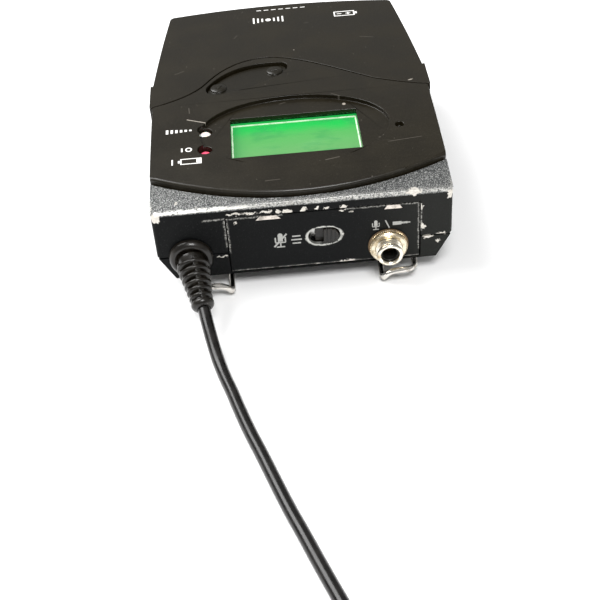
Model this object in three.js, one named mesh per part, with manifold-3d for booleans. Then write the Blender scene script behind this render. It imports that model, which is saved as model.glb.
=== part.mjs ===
// Wireless bodypack transmitter, millimetres, +Z up, control end facing -Y.
// The pack lies on its wire belt clip, fascia up. The origin is under the middle of the box
// of everything but the antenna, on the surface that the clip rests on.

import * as THREE from 'three';
import { mergeVertices } from 'three/addons/utils/BufferGeometryUtils.js';
import Module from 'manifold-3d';

const wasm = await Module();
wasm.setup();

// ---------------------------------------------------------------- driving dimensions

// Whole pack
const bodyLength = 82;
const bodyWidth = 64.4;
const bodyHeight = 22;
const farWidth = 57.6;
const farBow = 2.3;
const taperStart = 46;
const taperBulge = 0.33;
const nearCornerRadius = 1;
const farCornerRadius = 1.6;
const crownStart = 36;
const crownFall = 2.45;
const ridgeHeight = 6.1;
const backTaper = 3.1;
const gap = 0.3;

// Shells
const sideWall = 1.5;
const nearWall = 2.4;
const cellWall = 1;
const floorThickness = 1.3;
const deckThickness = 1;
const wingTop = 17;
const bulkheadY = 47;
const bulkheadThickness = 1.2;

// Fascia and door
const fasciaThickness = 2;
const bandDrop = 1.3;
const fasciaCornerY = 9.5;
const fasciaMiddleY = 1.7;
const fasciaInset = 0.1;
const seamGap = 0.35;
const stepHidden = 0.8;
const facetDepth = 1.05;
const facetWidth = 42.7;
const facetLength = 26.2;
const facetY = 23.25;
const doorThickness = 1.8;
const skirtThickness = 1.2;
const skirtBottom = 11;
const catchLength = 9.4;
const catchBulge = 0.7;
const catchTravel = 1;

// Hinge of the door
const hingeHeight = 8.6;
const hingeInset = 1.25;
const knuckleRadius = 1.2;
const knuckleLength = 4.4;
const knuckleX = 17.5;
const knuckleArm = 1.2;
const earThickness = 1.8;
const hingePinRadius = 0.5;

// Display and lamps
const windowWidth = 28.8;
const windowLength = 15.8;
const windowX = 0.2;
const windowY = 22.05;
const lensThickness = 0.4;
const lensOverlap = 1.2;
const glassThickness = 1.8;
const lightGuideThickness = 3.2;
const boardThickness = 1;
const lampRadius = 1.4;
const lampX = -20;
const lampPeakY = 25.3;
const lampOnY = 17.9;
const lampRecess = 1.1;
const pinHoleX = 23.5;
const pinHoleY = 20.9;
const pinHoleRadius = 1;

// Rocker and buttons
const rockerX = -9.9;
const rockerY = 46.25;
const rockerTurn = THREE.MathUtils.degToRad(24.1);
const rockerSink = 0.8;
const rockerNubReach = 7.45;
const rockerNubRadius = 2;
const rockerFlange = 0.5;
const rockerTiltRoom = 0.45;
const buttonRadius = 2;
const powerX = -24.6;
const setX = 24.2;
const buttonY = 43.6;
const buttonTop = 18.6;

// Control end
const plateLeft = -16.4;
const plateRight = 25;
const plateBottom = 0.6;
const plateTop = 15;
const plateThickness = 1;
const plateSink = 0.15;
const plateLedge = 1.3;
const slotX = 4.35;
const slotHeight = 8.25;
const slotWidth = 6.9;
const slotTall = 4.4;
const knobWidth = 3.2;
const jackX = 18.2;
const jackHeight = 4.35;
const jackNutRadius = 4.25;
const jackNutThickness = 1.5;
const jackSleeveRadius = 2.9;
const jackBore = 1.8;
const jackReach = 4;
const jackBlockWidth = 7.8;

// Antenna
const bootX = -24.8;
const bootHeight = 6;
const bootFlangeRadius = 4.8;
const bootFlangeThickness = 2;
const bootRootRadius = 3.6;
const bootTipRadius = 2.3;
const bootLength = 12.6;
const bootRings = 6;
const bootNeckRadius = 2.4;
const bootDroop = THREE.MathUtils.degToRad(20);
const bootYaw = THREE.MathUtils.degToRad(10.5);
const whipRadius = 1.35;

// Batteries, two AA cells
const cellRadius = 7.1;
const cellLength = 48.6;
const cellNub = 1.2;
const cellUnder = 2.4;
const cellRoom = 0.35;
const cellGap = 0.3;
const contactThickness = 0.4;

// Wire belt clip
const wireRadius = 0.75;
const backZ = 4.4;
const clipPinY = 8;
const clipPinHeight = 1;
const clipPinLength = 2;
const clipRunX = 24.1;
const clipLegX = 16.8;
const clipTipY = 72.4;
const clipNotchWidth = 3.6;
const wireDip = 0.06;

// Case screws
const screwX = 25.3;
const screwNearY = 17.2;
const screwFarY = 44.8;
const screwHeadRadius = 1.8;
const screwHeadThickness = 1.2;
const screwRadius = 0.9;
const bossRadius = 2.1;

// ---------------------------------------------------------------- places worked out from them

const halfWidth = bodyWidth / 2;
const halfFar = farWidth / 2;
const nearY = -(bodyLength - jackReach) / 2;
const farY = nearY + bodyLength;
const farCornerY = farY - farBow;
const topZ = backZ + bodyHeight;
const crownY = nearY + crownStart;
const skirtInset = skirtThickness + gap;
const splitEndY = crownY + 0.1;
const hingeY = farY - hingeInset;
const hingeZ = backZ + hingeHeight;
const seatDepth = fasciaThickness + gap;
const facetZ = topZ - facetDepth;
const lensSeatZ = facetZ - 1.1;
const lensTop = lensSeatZ - gap;
const glassTop = lensTop - lensThickness - gap;
const guideTop = glassTop - glassThickness - gap;
const boardTop = guideTop - lightGuideThickness - gap;
const cellHeight = cellUnder + cellRadius;
const cellY = bulkheadY + bulkheadThickness + cellRoom + cellRadius;
const cellPitch = 2 * cellRadius + cellGap;
const cellTop = cellHeight + cellRadius;
const rockerBoardZ = backZ + cellTop + 0.4;
const jackZ = backZ + jackHeight;
const bootZ = backZ + bootHeight;

/** Height above the back face turned into a place on Z. */
const up = (height) => backZ + height;
/** Distance from the control end turned into a place on Y. */
const along = (distance) => nearY + distance;

// ---------------------------------------------------------------- solids

/** A closed geometry as a solid that can be joined and cut. */
function solid(geometry) {
  const plain = geometry.index ? geometry.toNonIndexed() : geometry.clone();
  plain.deleteAttribute('normal');
  plain.deleteAttribute('uv');
  const merged = mergeVertices(plain, 1e-4);
  return new wasm.Manifold(new wasm.Mesh({
    numProp: 3,
    vertProperties: new Float32Array(merged.attributes.position.array),
    triVerts: new Uint32Array(merged.index.array),
  }));
}

/** A solid back as a geometry. */
function skin(body) {
  const mesh = body.getMesh();
  const geometry = new THREE.BufferGeometry();
  geometry.setAttribute('position', new THREE.BufferAttribute(new Float32Array(mesh.vertProperties), 3));
  geometry.setIndex(new THREE.BufferAttribute(new Uint32Array(mesh.triVerts), 1));
  geometry.computeVertexNormals();
  return geometry;
}

const join = (...bodies) => bodies.reduce((whole, body) => whole.add(body));
const cut = (body, ...tools) => tools.reduce((rest, tool) => rest.subtract(tool), body);

/** Box between two opposite corners. */
function box(x0, x1, y0, y1, z0, z1) {
  const geometry = new THREE.BoxGeometry(x1 - x0, y1 - y0, z1 - z0);
  geometry.translate((x0 + x1) / 2, (y0 + y1) / 2, (z0 + z1) / 2);
  return solid(geometry);
}

/** Box centred on x and y. */
function block(x, y, width, length, z0, z1) {
  return box(x - width / 2, x + width / 2, y - length / 2, y + length / 2, z0, z1);
}

/** Round bar between two points. */
function bar(radius, from, to, sides = 24) {
  const a = new THREE.Vector3(...from);
  const b = new THREE.Vector3(...to);
  const geometry = new THREE.CylinderGeometry(radius, radius, a.distanceTo(b), sides);
  const turn = new THREE.Quaternion().setFromUnitVectors(
    new THREE.Vector3(0, 1, 0), b.clone().sub(a).normalize());
  geometry.applyQuaternion(turn);
  const middle = a.add(b).multiplyScalar(0.5);
  geometry.translate(middle.x, middle.y, middle.z);
  return solid(geometry);
}

/** Upright round post. */
const post = (radius, x, y, z0, z1, sides = 24) => bar(radius, [x, y, z0], [x, y, z1], sides);

/** Shape drawn in X and Y, raised from z0 to z1. */
function slab(shape, z0, z1, curveSegments = 10) {
  const geometry = new THREE.ExtrudeGeometry(shape, { depth: z1 - z0, bevelEnabled: false, curveSegments });
  geometry.translate(0, 0, z0);
  return solid(geometry);
}

/** Shape drawn in Y and Z, carried along X. */
function sideSlab(shape, x0, x1, curveSegments = 10) {
  const geometry = new THREE.ExtrudeGeometry(shape, { depth: x1 - x0, bevelEnabled: false, curveSegments });
  const turn = new THREE.Matrix4().makeBasis(
    new THREE.Vector3(0, 1, 0), new THREE.Vector3(0, 0, 1), new THREE.Vector3(1, 0, 0));
  geometry.applyMatrix4(turn);
  geometry.translate(x0, 0, 0);
  return solid(geometry);
}

/** Shape drawn in X and Z, carried along Y. */
function endSlab(shape, y0, y1, curveSegments = 10) {
  const geometry = new THREE.ExtrudeGeometry(shape, { depth: y1 - y0, bevelEnabled: false, curveSegments });
  const turn = new THREE.Matrix4().makeBasis(
    new THREE.Vector3(1, 0, 0), new THREE.Vector3(0, 0, 1), new THREE.Vector3(0, -1, 0));
  geometry.applyMatrix4(turn);
  geometry.translate(0, y1, 0);
  return solid(geometry);
}

/** Profile of [radius, height] pairs turned about an axis that leaves `from` towards `direction`. */
function turned(profile, from, direction, sides = 24) {
  const points = profile.map(([radius, height]) => new THREE.Vector2(radius, height));
  const geometry = new THREE.LatheGeometry(points, sides);
  const turn = new THREE.Quaternion().setFromUnitVectors(
    new THREE.Vector3(0, 1, 0), new THREE.Vector3(...direction).normalize());
  geometry.applyQuaternion(turn);
  geometry.translate(...from);
  return solid(geometry);
}

/** Round wire along a smooth curve through points. */
function wire(radius, points, steps, sides = 8, tension = 0.5) {
  const curve = new THREE.CatmullRomCurve3(points.map((p) => new THREE.Vector3(...p)), false,
    'centripetal', tension);
  const section = new THREE.Shape();
  for (let i = 0; i < sides; i += 1) {
    const angle = (2 * Math.PI * i) / sides;
    const x = radius * Math.cos(angle);
    const y = radius * Math.sin(angle);
    if (i === 0) section.moveTo(x, y);
    else section.lineTo(x, y);
  }
  section.closePath();
  return solid(new THREE.ExtrudeGeometry(section, { steps, bevelEnabled: false, extrudePath: curve }));
}

// ---------------------------------------------------------------- outlines

/** Plan outline of the pack, drawn in by `inset` and started at `startY`. */
function outline(
  inset, startY = nearY + inset, nearRadius = nearCornerRadius, farRadius = farCornerRadius) {
  const wide = halfWidth - inset;
  const far = halfFar - inset;
  const cornerY = farCornerY - inset;
  const middleY = farY - inset;
  const turnY = along(taperStart);
  const near = Math.max(nearRadius - inset, 0.05);
  const round = Math.max(farRadius - inset, 0.3);
  const shape = new THREE.Shape();
  shape.moveTo(-wide + near, startY);
  shape.lineTo(wide - near, startY);
  shape.quadraticCurveTo(wide, startY, wide, startY + near);
  shape.lineTo(wide, turnY);
  shape.quadraticCurveTo((wide + far) / 2 + taperBulge, (turnY + cornerY) / 2, far, cornerY - round);
  shape.quadraticCurveTo(far, cornerY, far - round, cornerY + 0.1 * round);
  shape.quadraticCurveTo(0, 2 * middleY - cornerY - 0.1 * round, -far + round, cornerY + 0.1 * round);
  shape.quadraticCurveTo(-far, cornerY, -far, cornerY - round);
  shape.quadraticCurveTo(-(wide + far) / 2 - taperBulge, (turnY + cornerY) / 2, -wide, turnY);
  shape.lineTo(-wide, startY + near);
  shape.quadraticCurveTo(-wide, startY, -wide + near, startY);
  return shape;
}

/** Points of the S-shaped seam between fascia and door, from left to right. */
function seam() {
  const left = -halfWidth - 0.4;
  const right = halfWidth + 0.4;
  const path = new THREE.CurvePath();
  const point = (x, y) => new THREE.Vector2(x, along(y));
  const bend = (...corners) => path.add(new THREE.CubicBezierCurve(...corners));
  bend(point(left, 35.9), point(-27, 37.8), point(-22.2, 40.4), point(-19.6, 44.6));
  bend(point(-19.6, 44.6), point(-17.2, 48.6), point(-12.6, 54.8), point(-5, 54.8));
  bend(point(-5, 54.8), point(1.5, 54.8), point(9.5, 48.4), point(20, 40.9));
  bend(point(20, 40.9), point(25, 38.5), point(28.8, 37), point(right, 36.2));
  return path.getPoints(8);
}

/** The seam moved sideways: positive goes to the door's side. */
function seamMoved(distance) {
  const points = seam();
  return points.map((p, i) => {
    const before = points[Math.max(i - 1, 0)];
    const after = points[Math.min(i + 1, points.length - 1)];
    const run = after.clone().sub(before).normalize();
    return new THREE.Vector2(p.x - run.y * distance, p.y + run.x * distance);
  });
}

/** Everything on the door's side of the moved seam. */
function doorSide(distance) {
  const points = seamMoved(distance);
  const shape = new THREE.Shape();
  shape.moveTo(-halfWidth - 5, points[0].y);
  points.forEach((p) => shape.lineTo(p.x, p.y));
  shape.lineTo(halfWidth + 5, points[points.length - 1].y);
  shape.lineTo(halfWidth + 5, farY + 8);
  shape.lineTo(-halfWidth - 5, farY + 8);
  shape.closePath();
  return shape;
}

/** Everything on the fascia's side of the moved seam. */
function fasciaSide(distance) {
  const points = seamMoved(distance).reverse();
  const shape = new THREE.Shape();
  shape.moveTo(-halfWidth - 5, nearY - 8);
  shape.lineTo(halfWidth + 5, nearY - 8);
  shape.lineTo(halfWidth + 5, points[0].y);
  points.forEach((p) => shape.lineTo(p.x, p.y));
  shape.lineTo(-halfWidth - 5, points[points.length - 1].y);
  shape.closePath();
  return shape;
}

/** Plan of the ground in front of the fascia's bowed near edge, grown by `grow`. */
function beforeFascia(grow) {
  const cornerY = along(fasciaCornerY) - grow;
  const middleY = along(fasciaMiddleY) - grow;
  const shape = new THREE.Shape();
  shape.moveTo(-halfWidth - 1, cornerY + 0.5);
  shape.quadraticCurveTo(0, 2 * middleY - cornerY - 0.5, halfWidth + 1, cornerY + 0.5);
  shape.lineTo(halfWidth + 1, nearY - 9);
  shape.lineTo(-halfWidth - 1, nearY - 9);
  shape.closePath();
  return shape;
}

/** Side profile between two depths under the crowned top. */
function crownBand(depthTop, depthBottom) {
  const high = topZ - depthTop;
  const low = topZ - depthBottom;
  const endY = nearY - 0.5;
  const middle = (crownY + endY) / 2;
  const shape = new THREE.Shape();
  shape.moveTo(farY + 9, low);
  shape.lineTo(farY + 9, high);
  shape.lineTo(crownY, high);
  shape.quadraticCurveTo(middle, high, endY, high - crownFall);
  shape.lineTo(endY, low - crownFall);
  shape.quadraticCurveTo(middle, low, crownY, low);
  shape.closePath();
  return shape;
}

/** The slice of the pack between two depths under the crowned top. */
const crownSlice = (depthTop, depthBottom) =>
  sideSlab(crownBand(depthTop, depthBottom), -halfWidth - 2, halfWidth + 2, 12);

/** Rocker outline, drawn in or out by `grow` and placed on the fascia. */
function rockerShape(grow) {
  const shape = new THREE.Shape();
  const place = (u, v) => {
    const scaleU = 1 + grow / 10.4;
    const scaleV = 1 + grow / 4.2;
    const x = u * scaleU;
    const y = v * scaleV;
    return [
      rockerX + x * Math.cos(rockerTurn) - y * Math.sin(rockerTurn),
      along(rockerY) + x * Math.sin(rockerTurn) + y * Math.cos(rockerTurn),
    ];
  };
  shape.moveTo(...place(-9, -3.2));
  shape.quadraticCurveTo(...place(-1.5, -4.9), ...place(7.2, -3));
  shape.bezierCurveTo(...place(9.6, -2.2), ...place(11.6, -0.2), ...place(10.2, 1.6));
  shape.quadraticCurveTo(...place(0.2, 7.7), ...place(-9.2, 1.3));
  shape.bezierCurveTo(...place(-11, 0.2), ...place(-11, -2.4), ...place(-9, -3.2));
  return shape;
}

/** A point on the rocker's long axis. */
const rockerPoint = (reach) =>
  [rockerX + reach * Math.cos(rockerTurn), along(rockerY) + reach * Math.sin(rockerTurn)];

/** Rectangle with round ends, for endSlab. */
function slotShape(x, z, width, tall) {
  const radius = tall / 2;
  const reach = width / 2 - radius;
  const shape = new THREE.Shape();
  shape.moveTo(x - reach, z - radius);
  shape.lineTo(x + reach, z - radius);
  shape.absarc(x + reach, z, radius, -Math.PI / 2, Math.PI / 2, false);
  shape.lineTo(x - reach, z + radius);
  shape.absarc(x - reach, z, radius, Math.PI / 2, (3 * Math.PI) / 2, false);
  return shape;
}

// ---------------------------------------------------------------- repeated cuts

/** Display facet: an ellipse sunk level into the crowned fascia. */
function facetCut() {
  const shape = new THREE.Shape();
  shape.absellipse(0.15, along(facetY), facetWidth / 2, facetLength / 2, 0, 2 * Math.PI, false, 0);
  return slab(shape, facetZ, topZ + 2, 20);
}

/** Pocket, window and ledge for the end plate. */
function plateCut() {
  const pocket = box(plateLeft - gap, plateRight + gap, nearY - 1, nearY + plateSink + plateThickness + gap,
    up(plateBottom - gap), up(plateTop + gap));
  const through = box(plateLeft + plateLedge, plateRight - plateLedge, nearY - 1, nearY + nearWall + 1,
    up(plateBottom + plateLedge), up(plateTop - plateLedge));
  return join(pocket, through);
}

const jackHole = () => bar(
  jackSleeveRadius + gap, [jackX, nearY - 1, jackZ], [jackX, nearY + nearWall + 1, jackZ], 36);
const bootHole = () => bar(
  bootNeckRadius + gap, [bootX, nearY - 1, bootZ], [bootX, nearY + nearWall + 1, bootZ]);

const screwPlaces = [
  ['case_screw_1', -screwX, along(screwNearY)],
  ['case_screw_2', screwX, along(screwNearY)],
  ['case_screw_3', -screwX, along(screwFarY)],
  ['case_screw_4', screwX, along(screwFarY)],
];
const isFar = (y) => y > along((screwNearY + screwFarY) / 2);
const screwHeadZ = up(0.4);
const farBossTop = 10.4;
const nearBossTop = 14;

// ---------------------------------------------------------------- shells

/** Metal upper housing: walls, deck under the fascia, bulkhead, ears of the door's hinge. */
function upperHousing() {
  const ridgeZ = up(ridgeHeight);
  const solid = slab(outline(0), ridgeZ, topZ + 1).intersect(crownSlice(bandDrop, bodyHeight + 9));
  const seat = slab(fasciaSide(gap), ridgeZ, topZ + 2)
    .subtract(slab(beforeFascia(gap), ridgeZ - 1, topZ + 3, 24))
    .intersect(crownSlice(-3, seatDepth));
  const beyond = slab(doorSide(-stepHidden), up(wingTop), topZ + 2);
  let body = cut(solid, seat, beyond);

  const caveNear = nearY + nearWall;
  const bulkheadNear = along(bulkheadY);
  const bulkheadFar = bulkheadNear + bulkheadThickness;
  const caveSide = halfWidth - sideWall;
  const catchSide = halfWidth - skirtInset - catchTravel - gap - sideWall;
  const caveTop = up(wingTop - deckThickness - 0.2);
  const low = box(-caveSide, caveSide, caveNear, splitEndY - 2, ridgeZ - 1, caveTop);
  const lowFar = box(-catchSide, catchSide, splitEndY - 2.1, bulkheadNear, ridgeZ - 1, caveTop);
  const high = slab(fasciaSide(-stepHidden - deckThickness), caveTop - 0.1, topZ)
    .intersect(crownSlice(seatDepth + deckThickness, bodyHeight))
    .intersect(join(box(-caveSide, caveSide, caveNear, splitEndY - 2, caveTop - 0.1, topZ),
      box(-catchSide, catchSide, splitEndY - 2.1, bulkheadNear, caveTop - 0.1, topZ)));
  const cellSide = slab(outline(skirtInset + cellWall), ridgeZ - 1, up(wingTop + 0.05))
    .intersect(box(-halfWidth, halfWidth, bulkheadFar, farY - skirtInset - cellWall, 0, topZ));
  body = cut(body, low, lowFar, high, cellSide);

  const outer = slab(outline(-2), up(skirtBottom - gap), topZ + 1);
  const inner = slab(outline(skirtInset), ridgeZ - 1, topZ + 2);
  const sideBand = cut(outer, inner)
    .intersect(box(-halfWidth - 3, halfWidth + 3, splitEndY, farY + 3, 0, topZ + 2));
  const farOuter = slab(outline(-2), ridgeZ - 1, topZ + 1);
  const farInner = slab(outline(skirtInset), ridgeZ - 2, topZ + 2);
  const farBand = cut(farOuter, farInner)
    .intersect(box(-halfWidth, halfWidth, farCornerY - 2.6, farY + 3, 0, topZ + 2));
  body = cut(body, sideBand, farBand);
  for (const side of [-1, 1]) {
    const inside = side * (halfWidth - skirtInset - catchTravel - gap);
    const outside = side * (halfWidth + 2);
    body = cut(body, box(Math.min(inside, outside), Math.max(inside, outside), splitEndY,
      splitEndY + catchLength + 2 * gap, up(skirtBottom - gap), topZ + 2));
  }

  for (const [, x, y] of screwPlaces) {
    const top = isFar(y) ? farBossTop : nearBossTop;
    body = join(body, post(bossRadius, x, y, ridgeZ, up(top), 24));
    const wallX = Math.sign(x) * (caveSide + 0.2);
    const rib = isFar(y)
      ? box(x - bossRadius, x + bossRadius, y, bulkheadNear + 0.2, ridgeZ, up(top))
      : box(Math.min(x, wallX), Math.max(x, wallX), y - bossRadius / 2, y + bossRadius / 2,
        ridgeZ, up(top));
    body = join(body, rib);
    body = cut(body, post(screwRadius + gap, x, y, ridgeZ - 1, up(top - 1), 20));
  }

  const lensRoom = lensOverlap + 0.5;
  const wide = windowWidth + 2 * lensRoom;
  const long = windowLength + 2 * lensRoom;
  body = cut(body, block(windowX, along(windowY), wide, long, caveTop - 3, topZ));
  for (const y of [lampPeakY, lampOnY]) {
    body = cut(body, post(lampRadius + 2 * gap, lampX, along(y), caveTop - 3, topZ, 20));
  }
  body = cut(body, slab(rockerShape(rockerFlange + 2 * gap), rockerBoardZ + boardThickness / 2, topZ, 8));
  body = cut(body, rockerBoardBlock(gap, gap));
  for (const x of [powerX, setX]) {
    body = cut(body, post(buttonRadius + gap, x, along(buttonY), caveTop - 1, topZ, 24));
  }
  body = cut(body, plateCut(), bootHole(), jackHole());

  for (const side of [-1, 1]) {
    body = cut(body, hingeRoom(side));
    body = join(body, hingeEar(side, -1), hingeEar(side, 1));
    body = cut(body, bar(hingePinRadius + gap / 2, [side * knuckleX - 5.3, hingeY, hingeZ],
      [side * knuckleX + 5.3, hingeY, hingeZ], 20));
  }
  return body;
}

const earOffset = knuckleLength / 2 + gap + earThickness / 2;
const hingePinReach = earOffset + earThickness / 2 - 0.05;

/** Room in the far wall for one hinge knuckle and its ears. */
function hingeRoom(side) {
  const reach = knuckleLength / 2 + gap;
  return box(side * knuckleX - reach, side * knuckleX + reach, hingeY - knuckleRadius - gap, farY + 1,
    up(ridgeHeight) - 1, hingeZ + knuckleRadius + knuckleArm + gap);
}

/** One ear that holds a hinge pin. */
function hingeEar(side, end) {
  const x = side * knuckleX + end * earOffset;
  const x0 = x - earThickness / 2;
  const x1 = x + earThickness / 2;
  const foot = box(x0, x1, hingeY - 2.2, hingeY + knuckleRadius - 0.2, up(ridgeHeight), hingeZ);
  return join(foot, bar(knuckleRadius, [x0, hingeY, hingeZ], [x1, hingeY, hingeZ], 24));
}

/** Plan of the back half with plain corners, run out past the control end. */
function backPlan(inset) {
  const wide = halfWidth - inset;
  const far = halfFar - inset;
  const cornerY = farCornerY - inset;
  const turnY = along(taperStart);
  const shape = new THREE.Shape();
  shape.moveTo(-wide, nearY - 6);
  shape.lineTo(wide, nearY - 6);
  shape.lineTo(wide, turnY);
  shape.quadraticCurveTo((wide + far) / 2 + taperBulge, (turnY + cornerY) / 2, far, cornerY);
  shape.quadraticCurveTo(0, 2 * (farY - inset) - cornerY, -far, cornerY);
  shape.quadraticCurveTo(-(wide + far) / 2 - taperBulge, (turnY + cornerY) / 2, -wide, turnY);
  shape.closePath();
  return shape;
}

/** Tapered solid of the back half, drawn in by `inset`. */
function backBlock(inset, z0) {
  const height = ridgeHeight - gap;
  const geometry = new THREE.ExtrudeGeometry(backPlan(inset + gap), {
    depth: 2, bevelEnabled: true, bevelThickness: height, bevelSize: backTaper, bevelOffset: -backTaper,
    bevelSegments: 1, curveSegments: 8,
  });
  geometry.translate(0, 0, z0 + height);
  return solid(geometry);
}

/** Metal back shell: tapered tray with the clip's notches, screw pockets and half of the control end. */
function backShell() {
  const rimZ = up(ridgeHeight - gap);
  const trim = box(-halfWidth, halfWidth, nearY, farY, backZ, rimZ);
  const hollow = backBlock(sideWall, up(floorThickness))
    .intersect(box(-halfWidth, halfWidth, nearY + nearWall, farY - skirtInset - cellWall, 0, rimZ + 1));
  let body = cut(backBlock(0, backZ).intersect(trim), hollow, plateCut(), bootHole(), jackHole());
  for (const [, x, y] of screwPlaces) {
    body = join(body, post(screwHeadRadius + 1.3, x, y, backZ, rimZ, 24));
    const pocketTop = screwHeadZ + screwHeadThickness + gap;
    body = cut(body, post(screwHeadRadius + gap, x, y, backZ - 1, pocketTop, 24));
    body = cut(body, post(screwRadius + gap, x, y, backZ, rimZ + 1, 20));
  }
  for (const side of [-1, 1]) body = cut(join(body, clipBoss(side)), clipRoom(side));
  return body;
}

const clipNotchNear = 4.8;
const clipNotchFar = 9.6;
const clipBossTop = 2.9;
const clipBossWall = 0.5;
const clipBossEnd = 0.9;
const clipNotchInner = clipRunX - wireRadius - gap;
const clipNotchOuter = clipNotchInner + clipNotchWidth;
const clipPinX = clipNotchOuter + clipPinLength - gap;

/** Box between two distances from the middle, on the left (-1) or right (1) side. */
function sideBox(side, inner, outer, y0, y1, z0, z1) {
  return side > 0 ? box(inner, outer, y0, y1, z0, z1) : box(-outer, -inner, y0, y1, z0, z1);
}

/** Solid corner around one end of the clip's pivot. */
function clipBoss(side) {
  const boss = sideBox(side, clipNotchInner - clipBossWall, halfWidth,
    along(clipNotchNear) - clipBossEnd, along(clipNotchFar) + clipBossEnd, backZ, up(clipBossTop));
  return boss.intersect(backBlock(0, backZ));
}

/** Notch and pivot hole for one end of the clip. */
function clipRoom(side) {
  const pinY = along(clipPinY);
  const notch = sideBox(side, clipNotchInner, clipNotchOuter, along(clipNotchNear), along(clipNotchFar),
    backZ - 1, up(clipPinHeight + wireRadius + gap));
  const hole = bar(wireRadius + gap, [side * (clipNotchOuter - 1), pinY, up(clipPinHeight)],
    [side * (clipPinX + gap), pinY, up(clipPinHeight)], 20);
  return join(notch, hole);
}

/** Inset plate of the control end, with the mute slot and the jack's hole. */
function endPlate() {
  const y0 = nearY + plateSink;
  const plate = box(plateLeft, plateRight, y0, y0 + plateThickness, up(plateBottom), up(plateTop));
  const slot = endSlab(slotShape(slotX, up(slotHeight), slotWidth, slotTall), nearY - 1, nearY + 3, 8);
  return cut(plate, slot, jackHole());
}

// ---------------------------------------------------------------- fascia, door and what is in them

/** Crowned plastic fascia with the display facet, window, lamp holes and rocker opening. */
function frontFascia() {
  const side = halfWidth - fasciaInset;
  const plan = slab(fasciaSide(0), backZ, topZ + 1)
    .intersect(box(-side, side, nearY, farY, backZ, topZ + 1))
    .subtract(slab(beforeFascia(0), backZ - 1, topZ + 2, 24));
  let body = plan.intersect(crownSlice(0, fasciaThickness));
  const lensRoom = lensOverlap + 0.3;
  body = cut(body, facetCut(),
    block(windowX, along(windowY), windowWidth, windowLength, backZ, topZ + 1),
    block(windowX, along(windowY), windowWidth + 2 * lensRoom, windowLength + 2 * lensRoom,
      backZ, lensSeatZ));
  for (const y of [lampPeakY, lampOnY]) {
    body = cut(body, post(lampRadius + gap - 0.05, lampX, along(y), backZ, topZ + 1, 28));
  }
  body = cut(body, post(pinHoleRadius, pinHoleX, along(pinHoleY), topZ - 1.6, topZ + 1, 20));
  return cut(body, slab(rockerShape(gap), backZ, topZ + 1, 12));
}

/** Battery door: top plate, side skirts, far skirt and hinge knuckles. */
function batteryDoor() {
  const hood = (side) => {
    const outer = side * (halfWidth + catchBulge - 0.1);
    const inner = side * (halfWidth - 2);
    return box(Math.min(outer, inner), Math.max(outer, inner),
      splitEndY + gap, splitEndY + catchLength + gap, topZ - doorThickness, topZ);
  };
  const plate = join(slab(outline(0), topZ - doorThickness, topZ), hood(-1), hood(1))
    .intersect(slab(doorSide(seamGap), backZ, topZ + 1));
  const ring = cut(slab(outline(0), up(skirtBottom), topZ - doorThickness / 2),
    slab(outline(skirtThickness), backZ, topZ + 1));
  const sides = ring.intersect(
    box(-halfWidth, halfWidth, splitEndY + catchLength + 2 * gap, farY + 1, backZ, topZ));
  const farRing = cut(slab(outline(0), hingeZ, topZ - doorThickness / 2),
    slab(outline(skirtThickness), backZ, topZ + 1));
  const end = farRing.intersect(box(-halfWidth, halfWidth, farCornerY - 2.1, farY + 1, backZ, topZ));
  let body = join(plate, sides, end);
  for (const side of [-1, 1]) {
    const x = side * knuckleX;
    const reach = earOffset + earThickness / 2 + gap;
    const roomTop = hingeZ + knuckleRadius + gap + 0.1;
    body = cut(body, box(x - reach, x + reach, hingeY - 4, farY + 1, backZ, roomTop));
    const half = knuckleLength / 2;
    const arm = box(x - half, x + half, hingeY - 0.2, hingeY + knuckleRadius - 0.15, hingeZ,
      hingeZ + knuckleRadius + knuckleArm);
    const knuckle = bar(knuckleRadius, [x - half, hingeY, hingeZ], [x + half, hingeY, hingeZ], 24);
    body = cut(join(body, arm, knuckle), bar(hingePinRadius + gap, [x - half - 1, hingeY, hingeZ],
      [x + half + 1, hingeY, hingeZ], 20));
  }
  return body;
}

/** Press-in catch at one side of the door. */
function doorCatch(side) {
  const inner = side * (halfWidth - skirtThickness);
  const outer = side * (halfWidth + catchBulge - 0.1);
  const y0 = splitEndY + gap;
  const y1 = splitEndY + catchLength + gap;
  const z0 = up(skirtBottom + 1);
  const z1 = topZ - doorThickness - gap;
  const pad = box(Math.min(inner, outer), Math.max(inner, outer), y0, y1, z0, z1);
  const chamfer = new THREE.Shape();
  const edge = side * (halfWidth + catchBulge + 0.2);
  const back = side * (halfWidth - 0.5);
  chamfer.moveTo(edge, z0 - 1);
  chamfer.lineTo(edge, z0 + 1.2);
  chamfer.lineTo(back, z0 - 1);
  chamfer.closePath();
  return cut(pad, endSlab(chamfer, y0 - 1, y1 + 1));
}

/** Rocker with its two raised nubs and the flange under the fascia. */
function rocker() {
  const top = topZ - rockerSink;
  const flangeTop = rockerFlangeZ + 0.5;
  let body = join(slab(rockerShape(-0.1), flangeTop - 0.2, top, 12),
    slab(rockerShape(rockerFlange), rockerFlangeZ, flangeTop, 12));
  for (const reach of [-rockerNubReach, rockerNubReach]) {
    const [x, y] = rockerPoint(reach);
    const nub = [[0, 0], [rockerNubRadius, 0], [rockerNubRadius, 0.7],
      [rockerNubRadius - 0.45, 0.95], [0, 0.95]];
    body = join(body, turned(nub, [x, y, top - 0.4], [0, 0, 1], 24));
  }
  return body;
}

const rockerFlangeZ = topZ - fasciaThickness - rockerTiltRoom - 0.5;

/** Small board under the rocker, grown sideways and upwards. */
function rockerBoardBlock(grow, lift) {
  const geometry = new THREE.BoxGeometry(19 + 2 * grow, 6.6 + 2 * grow, 0.6 + 2 * lift);
  geometry.rotateZ(rockerTurn);
  geometry.translate(rockerX, along(rockerY), rockerBoardZ + 0.3);
  return solid(geometry);
}

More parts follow.
